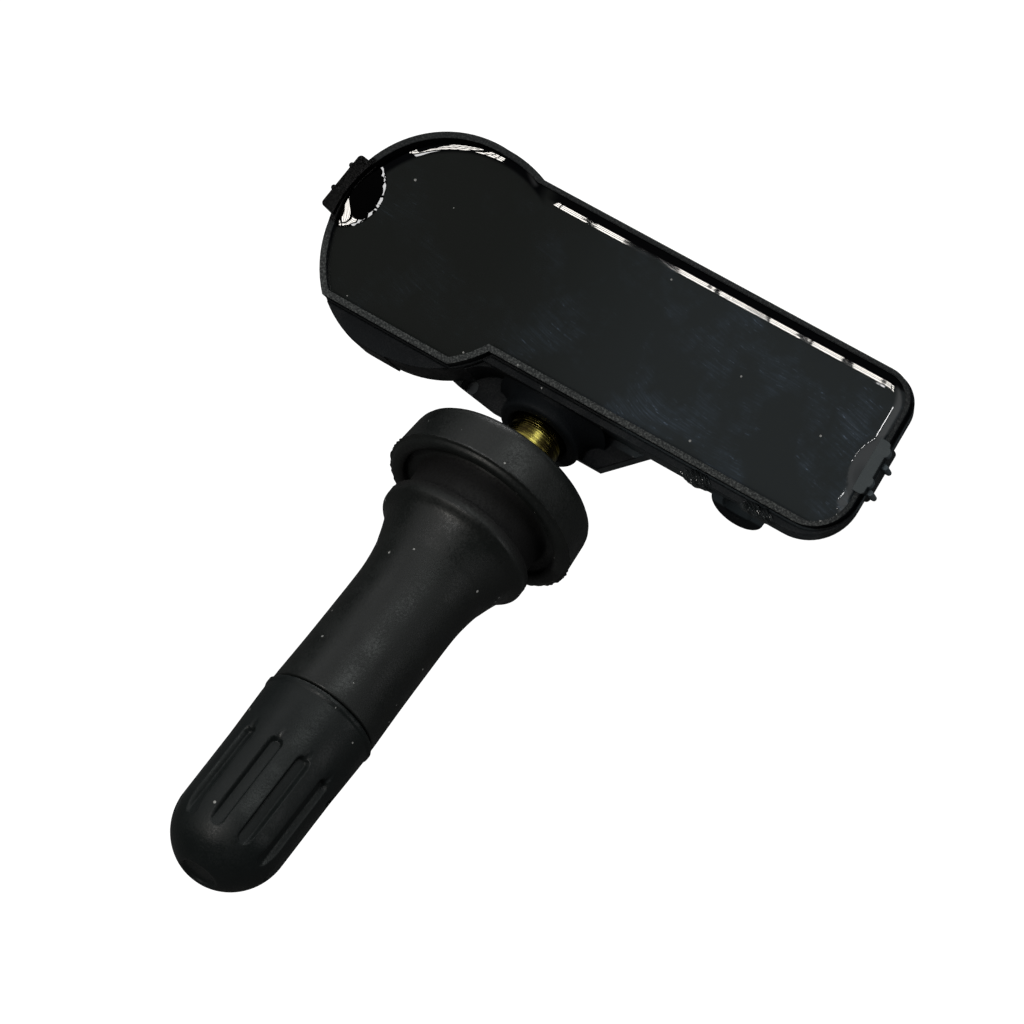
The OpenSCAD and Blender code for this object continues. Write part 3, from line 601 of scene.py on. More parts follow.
@dataclass(frozen=True)
class Zone:
    """A part of a surface with a tone of its own, and a sheen of its own where it has one.

    It is made of patches, and a patch of ranges. A range is a measure, where its mask is 0 and
    where it is 1, and where they differ from 0 and 1 the mask's two values.
    """

    colour: Colour
    patches: tuple[tuple[tuple, ...], ...]
    share: float = 1.0
    duller: float = 0.0

    def mask(self, tree: Tree, measures: dict[str, Socket]) -> Socket:
        """The greatest of the patches, each of which is the product of its ranges.

        Args:
            tree: The material's nodes.
            measures: The numbers that the ranges name.

        Returns:
            The mask's socket.
        """
        return reduce(tree.most, [
            tree.times(self.share, *(tree.between(measures[name], *span) for name, *span in patch))
            for patch in self.patches])


@dataclass(frozen=True)
class Moulded:
    """Finish of moulded plastic or rubber: grain, uneven tone, a little dust, and zones."""

    name: str
    colour: Colour
    roughness: float = 0.5
    grain: float = 9000.0
    depth: float = 0.5
    specks: float = 0.05
    speck_scale: float = 1100.0
    gloss: float = 0.5
    spread: float = 0.25
    speck_colour: Colour = (0.32, 0.32, 0.31)
    zones: tuple[Zone, ...] = ()

    def build(self) -> bpy.types.Material:
        """Makes the material.

        Returns:
            The finished material.
        """
        made, tree, surface = new_material(self.name)
        grain = tree.group(Effect.moulded(), Grain_per_metre=self.grain, Depth=self.depth)
        dust = tree.group(Effect.dust(), Specks_per_metre=self.speck_scale, Share=self.specks)
        tone = grain.outputs["Tone"]
        base = tree.blend(tone, shaded(self.colour, 1 - self.spread),
                          shaded(self.colour, 1 + self.spread))
        base = tree.blend(tree.times(dust.outputs["Mask"], 0.8), base, shaded(self.speck_colour))
        rough = tree.between(tone, 0.4, 0.6, self.roughness - 0.1, self.roughness + 0.12)
        measures = self.measures(tree) if self.zones else {}
        for zone in self.zones:
            mask = zone.mask(tree, measures)
            base = tree.blend(mask, base, shaded(zone.colour))
            if zone.duller:
                rough = tree.line(mask, zone.duller, rough)
        tree.fill(surface, Base_Color=base, Roughness=rough, Specular_IOR_Level=self.gloss,
                  Normal=grain.outputs["Normal"])
        return made

    def measures(self, tree: Tree) -> dict[str, Socket]:
        """The flat frame's measures, which the zones of a finish name."""
        return FLAT.measures(tree)


@dataclass(frozen=True)
class Metal:
    """Finish of turned or pressed metal, with lathe marks and an uneven tarnish."""

    name: str
    colour: Colour
    tarnish: Colour
    roughness: float = 0.3
    marks: float = 9000.0
    depth: float = 0.5
    stain_scale: float = 700.0

    def build(self) -> bpy.types.Material:
        """Makes the material.

        Returns:
            The finished material.
        """
        made, tree, surface = new_material(self.name)
        lines = tree.group(Effect.turned(), Lines_per_metre=self.marks, Depth=self.depth)
        stain = tree.noise(tree.coordinates(), self.stain_scale, 4.0, 0.6)
        dull = tree.between(tree.line(lines.outputs["Tone"], 0.6, tree.times(stain, 0.6)),
                            0.4, 0.72)
        tree.fill(surface, Base_Color=tree.blend(dull, shaded(self.colour), shaded(self.tarnish)),
                  Metallic=1.0, Normal=lines.outputs["Normal"],
                  Roughness=tree.between(stain, 0.3, 0.75, self.roughness - 0.06,
                                         self.roughness + 0.14))
        return made


@dataclass(frozen=True)
class Resin:
    """Finish of the potting: glossy black, wiped with a cloth, with fine scratches and dust.

    Its zones are painted: a reflection tone on the mound at the arm's end, a dark reflection along
    the far wall, which is straight by the arm and round by the lobe, and a dark reflection in the
    mound beside the round end's lug.
    """

    name: str = "potting_resin"
    colour: Colour = (0.0113, 0.0124, 0.0116)
    arm_colour: Colour = (0.0205, 0.0238, 0.025)
    arm_fade: Pair = (2.0, 26.0)
    haze: Colour = (0.032, 0.042, 0.054)
    fleck: Colour = (0.13, 0.17, 0.24)
    dust_colour: Colour = (0.3, 0.3, 0.29)
    roughness: float = 0.02
    # Painted reflection tone on the resin's mound at the arm's end.
    slope: Zone = Zone((0.009, 0.012, 0.014), ((("slope", 1.0, 0.93),),))
    # Painted dark reflection along the far wall, straight by the arm and round by the lobe.
    edge: Zone = Zone((0.0012, 0.0014, 0.0018), (
        (("y", 9.3, 9.65), ("x", 4.5, 6.5)),
        (("r", 10.1, 10.5), ("x", 5.6, 4.0), ("y", -3.0, 2.0))))
    # Painted dark reflection inside the mound beside the round end's lug.
    pool: Zone = Zone((0.0004, 0.0004, 0.0004), ((("pool", 1.0, 0.93),),))

    def build(self) -> bpy.types.Material:
        """Makes the material.

        Returns:
            The finished material.
        """
        made, tree, surface = new_material(self.name)
        measures = FLAT.measures(tree)
        at = measures["at"]
        wipes = tree.group(Effect.wipes(), Along=at)
        dust = tree.group(Effect.dust(), Specks_per_metre=900.0, Share=0.1)
        arm = tree.between(measures["x"], *self.arm_fade)
        # Masks of the zones that paint reflections into the resin's colour.
        slope, edge, pool = (zone.mask(tree, measures)
                             for zone in (self.slope, self.edge, self.pool))
        level = tree.math("SUBTRACT", 1.0, tree.most(pool, slope))
        smear = tree.times(wipes.outputs["Mask"], tree.line(arm, 0.85, 0.15), level)
        base = tree.blend(arm, shaded(self.colour), shaded(self.arm_colour))
        for mask, colour in (
                (smear, self.haze), (tree.times(wipes.outputs["Flecks"], smear), self.fleck),
                (slope, self.slope.colour), (edge, self.edge.colour),
                (tree.times(dust.outputs["Mask"], 0.7), self.dust_colour),
                (pool, self.pool.colour)):
            base = tree.blend(mask, base, shaded(colour))
        tree.fill(surface, Base_Color=base, Roughness=tree.line(smear, 0.1, self.roughness),
                  Normal=tree.bump(tree.noise(at, 0.5, 2.0), 0.006 * MM, 0.6))
        return made


@dataclass(frozen=True)
class Shell(Moulded):
    """Finish of the housing.

    Its zones are the rim's flat top, strongest beside the stem and broken up by a painted glint;
    painted reflection on the wall beside the stem; painted light on the arm end's lug; the lug's
    pad; painted light on the walls that face away from the stem and on the underside; and the film
    of resin beside the round end's lug and on the far inner wall, painted darker than the resin as
    a dark reflection.
    """

    zones: tuple[Zone, ...] = (
        # Pale textured rim top, broken up by painted glints from a noise.
        Zone((0.085, 0.09, 0.088), ((
            ("z", -0.12, -0.04), ("z", 0.1, 0.05), ("y", -2.0, -5.0, 0.35, 1.0),
            ("glint", 0.42, 0.72, 0.15, 1.0)),)),
        # Painted reflection: the wall beside the stem, below the rim, made paler.
        Zone((0.022, 0.028, 0.032), ((
            ("x", 20.0, 23.0), ("y", -6.75, -6.55), ("y", -4.6, -5.2), ("z", -0.85, -1.05)),)),
        # Painted light: the arm end's lug made paler where the lamps reach it weakly.
        Zone((0.06, 0.074, 0.082), ((("x", 43.9, 44.3), ("y", -4.0, -2.0)),)),
        Zone((0.052, 0.06, 0.063), ((("x", 42.5, 42.8), ("z", 0.08, 0.16)),), 0.9),
        # Painted light: the walls facing away from the stem and the underside made paler.
        Zone((0.032, 0.036, 0.039), (
            (("y", 11.0, 11.3), ("z", -0.3, -0.8)),
            (("r", 11.7, 12.1), ("x", 0.0, -3.0), ("z", -0.3, -0.8)),
            (("z", -6.75, -6.95),))),
        # Resin film, glossier, and painted darker than the resin as a dark reflection.
        Zone((0.002, 0.002, 0.002), (
            (("film", 1.05, 0.95), ("z", -1.2, -0.8)),
            (("z", -0.1, -0.2), ("y", 1.0, 4.0), ("x", 43.5, 42.9), ("z", -1.2, -0.8))),
            duller=-0.4))


@dataclass(frozen=True)
class StemRubber(Moulded):
    """Finish of the stem: moulded rubber, whose one zone is painted shade in the rim groove, also
    made dull.
    """

    zones: tuple[Zone, ...] = (
        # Painted shade in the recessed rim groove, which is also made duller.
        Zone((0.002, 0.002, 0.002), ((("y", -2.3, -1.5), ("y", 2.5, 2.1), ("r", 8.5, 7.9)),),
             duller=0.35),)

    def measures(self, tree: Tree) -> dict[str, Socket]:
        """The place along the stem axis and the distance from it, in millimetres."""
        x, y, z = tree.split(tree.vector("SCALE", tree.coordinates(), scale=1 / MM))
        return {"y": y, "r": tree.length(x, z)}


@dataclass(frozen=True)
class Board:
    """Finish of the circuit board: green mask with paler copper tracks and round pads."""

    name: str = "board_green"
    mask: Colour = (0.015, 0.11, 0.045)
    track: Colour = (0.03, 0.2, 0.08)
    pad: Colour = (0.55, 0.5, 0.35)

    def build(self) -> bpy.types.Material:
        """Makes the material.

        Returns:
            The finished material.
        """
        made, tree, surface = new_material(self.name)
        at = FLAT.mapping(tree)
        bent = tree.line(tree.noise(at, 0.2), 3.0, tree.split(at)[1])
        lanes = tree.math("PINGPONG", bent, 0.5)
        track = tree.between(lanes, 0.3, 0.36)
        pad = tree.math("LESS_THAN", tree.cells(at, 0.5)[0], 0.16)
        base = tree.blend(track, shaded(self.mask), shaded(self.track))
        tree.fill(surface, Base_Color=tree.blend(pad, base, shaded(self.pad)),
                  Roughness=tree.between(track, 0.0, 1.0, 0.3, 0.22),
                  Normal=tree.bump(track, 0.03 * MM))
        return made


class Slot(Enum):
    """The record's material slots, each with the finish it takes."""

    HOUSING = Shell("housing_plastic", (0.0046, 0.0056, 0.0066), 0.5, 7000.0, 0.9, 0.06,
                    gloss=0.06)
    RESIN = Resin()
    BOARD = Board()
    STEEL = Metal("steel", (0.62, 0.62, 0.62), (0.4, 0.4, 0.39), 0.28, 5000.0, 0.3)
    NICKEL = Metal("nickel_strip", (0.66, 0.64, 0.6), (0.5, 0.47, 0.42), 0.32, 3000.0, 0.2)
    CHIP = Moulded("chip_black", (0.02, 0.02, 0.021), 0.55, 12000.0, 0.3, 0.0)
    SEAL = Moulded("seal_rubber", (0.02, 0.02, 0.02), 0.55, 8000.0, 0.3, 0.02)
    RED_SEAL = Moulded("seal_red", (0.45, 0.06, 0.04), 0.45, 8000.0, 0.3, 0.0)
    FILTER = Moulded("filter_white", (0.7, 0.7, 0.67), 0.8, 15000.0, 0.8, 0.0)
    COPPER = Metal("copper", (0.78, 0.4, 0.22), (0.5, 0.22, 0.1), 0.3, 14000.0, 0.8)
    FERRITE = Moulded("ferrite", (0.05, 0.05, 0.055), 0.6, 9000.0, 0.6, 0.0)
    CAPACITOR = Moulded("capacitor_tan", (0.42, 0.28, 0.16), 0.45, 9000.0, 0.3, 0.0)
    BRASS = Metal("brass", (0.32, 0.27, 0.06), (0.04, 0.03, 0.01), 0.2, 3400.0, 2.5)
    RUBBER = StemRubber("stem_rubber", (0.0064, 0.0076, 0.0072), 0.44, 4200.0, 0.5, 0.2, 1000.0,
                        0.28)
    CAP = Moulded("cap_plastic", (0.006, 0.0078, 0.0078), 0.42, 5200.0, 0.5, 0.1, 900.0, 0.2)

    @property
    def slot(self) -> str:
        """The slot's name in the record."""
        return self.value.name

    @lru_cache(maxsize=None)
    def material(self) -> bpy.types.Material:
        """The slot's material, made the first time."""
        return self.value.build()


def dress(thing: Thing, slot: Slot) -> None:
    """Gives an object one material for all its faces."""
    thing.data.materials.clear()
    thing.data.materials.append(slot.material())


@dataclass
class SubAssembly:
    """What every sub-assembly shares: the loaded frame, and how a new piece is put on a body."""

    frame: dict

    def dress_nodes(self, slots: dict[str, Slot]) -> None:
        """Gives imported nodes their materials.

        Args:
            slots: Each node's name and its slot.
        """
        for name, slot in slots.items():
            dress(self.frame["nodes"][name], slot)
            LOG.info("dressed %s with %s", name, slot.slot)

    def stand_in(self, thing: Thing, slot: Slot, body: str, *nodes: str) -> None:
        """Dresses a new piece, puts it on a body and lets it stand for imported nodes.

        Args:
            thing: The new piece.
            slot: Its material slot.
            body: The body it rides on.
            *nodes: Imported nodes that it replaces.
        """
        dress(thing, slot)
        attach(thing, body)
        if nodes:
            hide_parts(*nodes)
        LOG.info("built %s with %d faces", thing.name, len(thing.data.polygons))


# ---------------------------------------------------------------- housing and resin


@dataclass
class Housing(SubAssembly):
    """The moulded housing and the beads of sealant on its wall beside the stem."""

    bead_rows: int = 58
    bead_columns: int = 84
    bead_level: float = -1.5
    swell: float = 0.22
    beads: tuple[tuple[float, float, float, float, float], ...] = (
        (30.2, -5.95, 1.75, 0.6, 1.0), (36.4, -5.9, 2.05, 0.52, 1.0))

    def bead(self, number: int, x: float, y: float, long: float, proud: float,
             high: float) -> Thing:
        """A rough lump: an ellipsoid whose radius is stirred by waves in both of its angles.

        Args:
            number: Number of the bead, which also seeds its waves.
            x: Middle of the bead along the arm.
            y: Middle of the bead away from the stem.
            long: Half its length.
            proud: How far it stands off the wall.
            high: Half its height.

        Returns:
            The new piece.
        """
        rows, cols, level = self.bead_rows, self.bead_columns, self.bead_level
        polar = np.linspace(0, np.pi, rows + 2)[1:-1, None]
        turn = np.linspace(0, 2 * np.pi, cols, endpoint=False)[None, :]
        waves = (ripple(turn + 2.5 * polar, 10 + number, 3, 11)
                 + ripple(3 * polar + turn, 20 + number, 5, 24))
        swell = 1 + self.swell * np.sin(polar) * waves
        px = x + long * np.cos(polar) * (1 + 0.05 * waves)
        py = y + proud * swell * np.sin(polar) * np.cos(turn)
        pz = level + high * swell * np.sin(polar) * np.sin(turn)
        ends = np.array([[x + long, x - long], [y, y], [level, level]])
        points = np.concatenate((FLAT.place(px, py, pz).reshape(-1, 3), FLAT.place(*ends)))
        return make_mesh(f"sealant_bead_{number}", points, capped(rows, cols))

    def build(self) -> None:
        """Dresses the housing and adds the beads."""
        self.dress_nodes({"housing": Slot.HOUSING, "port_filter": Slot.FILTER,
                          "mounting_screw": Slot.STEEL})
        for number, bead in enumerate(self.beads, 1):
            self.stand_in(self.bead(number, *bead), Slot.RESIN, "sensor")


@dataclass(frozen=True)
class Mound:
    """A place where the resin climbs higher: its oval, its slope and its wrinkles."""

    x: float
    y: float
    half_x: float
    half_y: float
    slope: float
    soft: float = 0.12
    wrinkle: float = 0.0
    waves: int = 22

    def height(self, x: np.ndarray, y: np.ndarray) -> np.ndarray:
        """Height of the mound: its slope times the depth inside its oval, soft at the edge.

        The depth is one less the distance in half sizes, times the smaller half size. Wrinkles run
        out from the edge like spokes: a wave of the angle round the middle, strongest at the edge.

        Args:
            x: Places along the arm.
            y: Places across it.

        Returns:
            The height to be added, in millimetres.
        """
        dx, dy = (x - self.x) / self.half_x, (y - self.y) / self.half_y
        inside = (1 - np.hypot(dx, dy)) * min(self.half_x, self.half_y)
        rise = self.slope * self.soft * np.logaddexp(0, inside / self.soft)
        turn = np.arctan2(dy, dx)
        spokes = np.sin(self.waves * turn + 2.2 * np.sin(5 * turn) + 1.3 * np.sin(9 * turn))
        near = np.exp(-(np.maximum(inside, -0.6 * inside) / 0.3) ** 2)
        return rise + self.wrinkle * spokes * near


@dataclass
class Potting(SubAssembly):
    """The resin that fills the open face. It climbs the walls, and mounds up beside the lugs."""

    level: float = -0.8
    bottom: float = -2.3
    rise: float = 0.53
    reach: float = 0.7
    lobe_rise: float = 0.25
    lobe_fade: Pair = (2.0, 7.0)
    stem_side: Pair = (1.0, 3.5)
    stem_calm: float = 0.97
    lug_side: Pair = (7.5, 9.5)
    lug_calm: float = 0.85
    sag: float = 0.02
    lobe_r: float = 10.99
    lobe_at: Pair = (0.0, 0.0)
    lobe_end: float = 8.0
    chord: float = -7.41
    cup_r: float = 10.19
    cup_at: Pair = (-1.0, 0.85)
    near: float = -4.58
    far: float = 10.29
    end: float = 43.24
    near_corner: Corner = (39.7, -1.19, 3.54)
    far_corner: Corner = (40.7, 7.75, 2.54)
    lobe_columns: int = 84
    columns: int = 156
    end_columns: int = 60
    rows: int = 112
    crease: float = 0.03
    highest: float = -0.03
    mounds: tuple[Mound, ...] = (
        Mound(*POOL, 0.26, 0.34, 0.006, 26), Mound(*SLOPE, 0.45, 0.2, 0.008, 40),
        Mound(43.1, -1.6, 1.15, 0.9, 0.45, 0.2, 0.02, 14))

    def stations(self) -> np.ndarray:
        """Places along the arm, close together at the round end and at the arm's end.

        Returns:
            The places, from the round end on.
        """
        x0, x1 = self.lobe_at[0], self.near_corner[0]
        turn = np.linspace(math.radians(4), math.pi / 2, self.lobe_columns, endpoint=False)
        middle = np.linspace(x0, x1, self.columns, endpoint=False)
        corner = (self.end - x1) * np.sin(np.linspace(0, math.pi / 2, self.end_columns))
        return np.concatenate((x0 - self.lobe_r * np.cos(turn), middle, x1 + corner))

    def edges(self, x: np.ndarray) -> tuple[np.ndarray, np.ndarray]:
        """The resin's edge beside the stem and its far edge: the outermost arc or line at each x.

        Args:
            x: Places along the arm.

        Returns:
            The lower and the upper edge at each place.
        """
        def arc(mid: float, radius: float) -> np.ndarray:
            """Half the height of a circle at each place."""
            return np.sqrt(np.maximum(radius ** 2 - (x - mid) ** 2, 0))

        (lx, ly), (cx, cy) = self.lobe_at, self.cup_at
        (nx, ny, nr), (fx, fy, fr) = self.near_corner, self.far_corner
        lobe = arc(lx, self.lobe_r)
        cup = np.maximum(cy - arc(cx, self.cup_r), self.chord)
        low = np.where(x > 0, np.minimum(cup, self.near), np.maximum(ly - lobe, self.chord))
        low = np.where(x > nx, np.maximum(ny - arc(nx, nr), low), low)
        high = np.where(x < fx, self.far, fy + arc(fx, fr))
        both = np.where(x < self.lobe_end, np.maximum(ly + lobe, high), high)
        return low, np.where(x < 0, ly + lobe, both)

    @staticmethod
    def wall_distance(x: np.ndarray, y: np.ndarray, outline: np.ndarray) -> np.ndarray:
        """Distance from each point to the resin's edge: the smallest over its short pieces.

        Args:
            x: Places along the arm.
            y: Places across it.
            outline: Points of the closed edge, one row each.

        Returns:
            The distances, in millimetres.
        """
        start, step = outline, np.roll(outline, -1, 0) - outline
        length = np.maximum((step ** 2).sum(1), 1e-9)
        best = np.full(x.shape, np.inf)
        for a, d, n in zip(start, step, length):
            t = np.clip(((x - a[0]) * d[0] + (y - a[1]) * d[1]) / n, 0, 1)
            best = np.minimum(best, np.hypot(x - a[0] - t * d[0], y - a[1] - t * d[1]))
        return best

    def surface(self, x: np.ndarray, y: np.ndarray, wall: np.ndarray) -> np.ndarray:
        """Height of the resin: its level, the mounds, and a climb that fades away from the wall.

        The climb falls by the same share for each step away from the wall. It is lower in the
        round end, and hardly any is left beside the stem and the lug. Where climb and mound meet,
        the higher one counts, with a soft crease.

        Args:
            x: Places along the arm.
            y: Places across it.
            wall: Distances to the wall.

        Returns:
            The height in the housing's frame.
        """
        rise = self.lobe_rise + (self.rise - self.lobe_rise) * ramp(x, *self.lobe_fade)
        left = ((1 - self.stem_calm * ramp(-y, *self.stem_side))
                * (1 - self.lug_calm * ramp(-x, *self.lug_side)))
        climb = rise * left * np.exp(-wall / self.reach)
        for mound in self.mounds:
            both = np.logaddexp(climb / self.crease, mound.height(x, y) / self.crease)
            climb = both * self.crease
        return np.minimum(self.level - self.sag + climb, self.highest)

    def block(self) -> Thing:
        """The resin as one closed block, its top a grid of columns between the two edges.

        Returns:
            The new piece.
        """
        x = self.stations()
        low, high = self.edges(x)
        share = np.linspace(0, 1, self.rows)
        share = 0.4 * share + 0.6 * (0.5 - 0.5 * np.cos(np.pi * share))
        gx = np.repeat(x[:, None], self.rows, 1)
        gy = low[:, None] + (high - low)[:, None] * share
        outline = np.concatenate((np.stack((x, low), -1), np.stack((x, high), -1)[::-1]))
        gz = self.surface(gx, gy, self.wall_distance(gx, gy, outline))
        top = FLAT.place(gx, gy, gz).reshape(-1, 3)
        floor = np.full(len(x), self.bottom)
        ring = np.concatenate((FLAT.place(x, low, floor), FLAT.place(x, high, floor)))
        n, m = len(x), self.rows
        first, last = np.arange(n) * m, np.arange(n) * m + m - 1
        b_low, b_high = n * m + np.arange(n), n * m + n + np.arange(n)
        strips = [np.stack((a[:-1], a[1:], b[1:], b[:-1]), -1)
                  for a, b in ((b_low, first), (last, b_high), (b_high, b_low))]
        ends = [np.array([[*range(m), b_high[0], b_low[0]]]),
                np.array([[*range(n * m - 1, (n - 1) * m - 1, -1), b_low[-1], b_high[-1]]])]
        return make_mesh("potting_resin_fill", np.concatenate((top, ring)),
                         [quads(n, m, False, False)[:, ::-1], *strips, *ends], 50.0)

    def build(self) -> None:
        """Builds the resin in place of its plain solid."""
        self.stand_in(self.block(), Slot.RESIN, "sensor", "potting")


# ---------------------------------------------------------------- stem, cap and valve core


@dataclass
class ValveStem(SubAssembly):
    """The rubber stem moulded on its brass insert."""

    neck_r: float = 2.72
    insert_end: float = -14.2
    flange_back: float = -6.4
    flange_r: float = 9.65
    flash: Pair = (0.05, 0.07)
    shoulder_flash: float = 0.03
    parting: float = -2.06
    recess: float = -2.44
    groove_r: float = 6.6
    shoulder_back: float = 1.3
    rubber_end: float = 22.85
    stem_mouth: float = 34.4
    thread_start: float = 26.0
    thread_r: float = 3.85
    thread_root: float = 3.45
    pitch: float = 0.794
    rubber_columns: int = 320
    brass_columns: int = 192
    waist: tuple[Pair, ...] = (
        (2.65, 7.18), (3.1, 6.72), (3.63, 6.42), (4.61, 6.05), (5.59, 5.74), (6.56, 5.47),
        (8.5, 5.2), (10.4, 5.12), (14.0, 5.14), (18.0, 5.19), (21.8, 5.29))

    def bonded(self) -> list[Corner]:
        """Corners of the line where rubber and brass meet, from the flange to the rubber's mouth.

        Returns:
            Each corner's station, radius and rounding.
        """
        back, front, end = self.flange_back, self.shoulder_back, self.rubber_end
        return [(back + 0.6, self.neck_r, 0), (back + 0.8, 5.2, 0), (back + 1.8, 5.2, 0),
                (back + 2.2, 3.4, 0), (front + 2.0, 3.4, 0), (front + 2.2, 3.9, 0),
                (front + 4.0, 3.1, 0), (end - 2.0, 3.1, 0), (end - 1.6, self.thread_root, 0)]

    def rubber(self) -> Thing:
        """The rubber as a lathe surface: a closed profile of station and radius, turned round.

        The radius is stirred by a ragged flash on the mould's parting line and on the shoulder.

        Returns:
            The new piece.
        """
        s0, r0 = self.shoulder_back, self.flange_r
        front = filleted([
            (self.flange_back, self.neck_r + 0.02, 0), (self.flange_back, 9.2, 1.15),
            (self.parting - 0.1, r0 - 0.13, 0.05), (self.parting, r0, 0),
            (self.parting + 0.1, r0 - 0.34, 0.04), (-1.56, r0 - 0.62, 0.25), (-1.54, 8.44, 0.22),
            (-1.75, 7.98, 0.15), (self.recess, 7.9, 0.25), (self.recess, 6.9, 0.25),
            (-1.9, self.groove_r, 0.3), (s0 - 0.3, self.groove_r, 0.2), (s0, 6.95, 0.15),
            (s0, 7.35, 0.1), (s0 + 0.16, 7.4, 0.06), (s0 + 1.1, 7.42, 0.35),
            self.waist[0] + (0,)])
        tail = filleted([self.waist[-1] + (0,), (self.rubber_end - 0.1, 5.3, 0.06),
                         (self.rubber_end, 5.15, 0.05), (self.rubber_end, self.thread_root, 0)])
        outside = np.concatenate((front, flowing(list(self.waist), 7)[1:-1], tail))
        inside = np.array([c[:2] for c in self.bonded()])[::-1]
        path = spaced(np.concatenate((outside, inside)), 0.45)
        angle, s, r = lathe(path, self.rubber_columns)
        parting = np.exp(-((s - self.parting) / 0.05) ** 2) * (r > 9.2)
        shoulder = np.exp(-((s - s0 - 0.16) / 0.08) ** 2) * (r > 7.2)
        even, ragged = self.flash
        r = r - parting * (even + ragged * ripple(angle, 3, 20, 90))
        r = r - shoulder * self.shoulder_flash * ripple(angle, 4, 10, 60)
        return make_mesh("stem_rubber_skin", on_stem(r, angle, s).reshape(-1, 3),
                         [quads(len(path), self.rubber_columns, True, True)], 32.0)

    def thread(self, angle: np.ndarray, station: np.ndarray) -> np.ndarray:
        """Height of a right-hand thread: a wave of the station less the pitch's share of the turn.

        Args:
            angle: Angles round the stem axis.
            station: Stations along it.

        Returns:
            How far the thread stands off its root, in millimetres.
        """
        start, mouth = self.thread_start, self.stem_mouth
        phase = (station - start) / self.pitch - angle / (2 * np.pi)
        wave = 1 - np.abs(2 * (phase - np.floor(phase)) - 1)
        faded = ramp(station, start, start + 1.0) * ramp(-station, 0.4 - mouth, 1.1 - mouth)
        return (self.thread_r - self.thread_root) * np.clip(1.35 * wave - 0.15, 0, 1) * faded

    def brass(self) -> Thing:
        """The brass insert as a lathe surface, with its thread's height added to the radius.

        Returns:
            The new piece.
        """
        ring, mouth = self.insert_end + 3.3, self.stem_mouth
        outside = filleted([
            (self.insert_end, 2.04, 0), (self.insert_end, 2.35, 0.1),
            (self.insert_end + 0.3, 2.6, 0.1), (ring - 0.3, 2.6, 0.05), (ring - 0.2, 2.42, 0.04),
            (ring, 2.42, 0.04), (ring + 0.1, self.neck_r, 0.05), *self.bonded(),
            (self.thread_start, self.thread_root, 0)])
        steps = np.arange(self.thread_start + 0.06, mouth - 0.35, 0.06)
        turns = np.stack((steps, np.full(len(steps), self.thread_root)), -1)
        inside = filleted([
            (mouth - 0.3, self.thread_root, 0), (mouth, 3.15, 0.08), (mouth, 3.0, 0),
            (mouth - 0.4, 2.64, 0), (28.7, 2.64, 0), (27.5, 2.05, 0), (16.6, 2.05, 0),
            (15.8, 1.2, 0), (-7.4, 1.2, 0), (-8.2, 2.04, 0), (self.insert_end + 0.2, 2.04, 0)])
        path = np.concatenate((spaced(outside, 1.0), turns, spaced(inside, 1.5)))
        angle, s, r = lathe(path, self.brass_columns)
        r = r + self.thread(angle, s) * (r >= self.thread_root - 1e-6)
        return make_mesh("stem_brass_insert", on_stem(r, angle, s).reshape(-1, 3),
                         [quads(len(path), self.brass_columns, True, True)], 40.0)

    def build(self) -> None:
        """Builds the rubber and the brass in place of their plain solids."""
        self.stand_in(self.rubber(), Slot.RUBBER, "sensor", "stem_rubber")
        self.stand_in(self.brass(), Slot.BRASS, "sensor", "stem_brass")


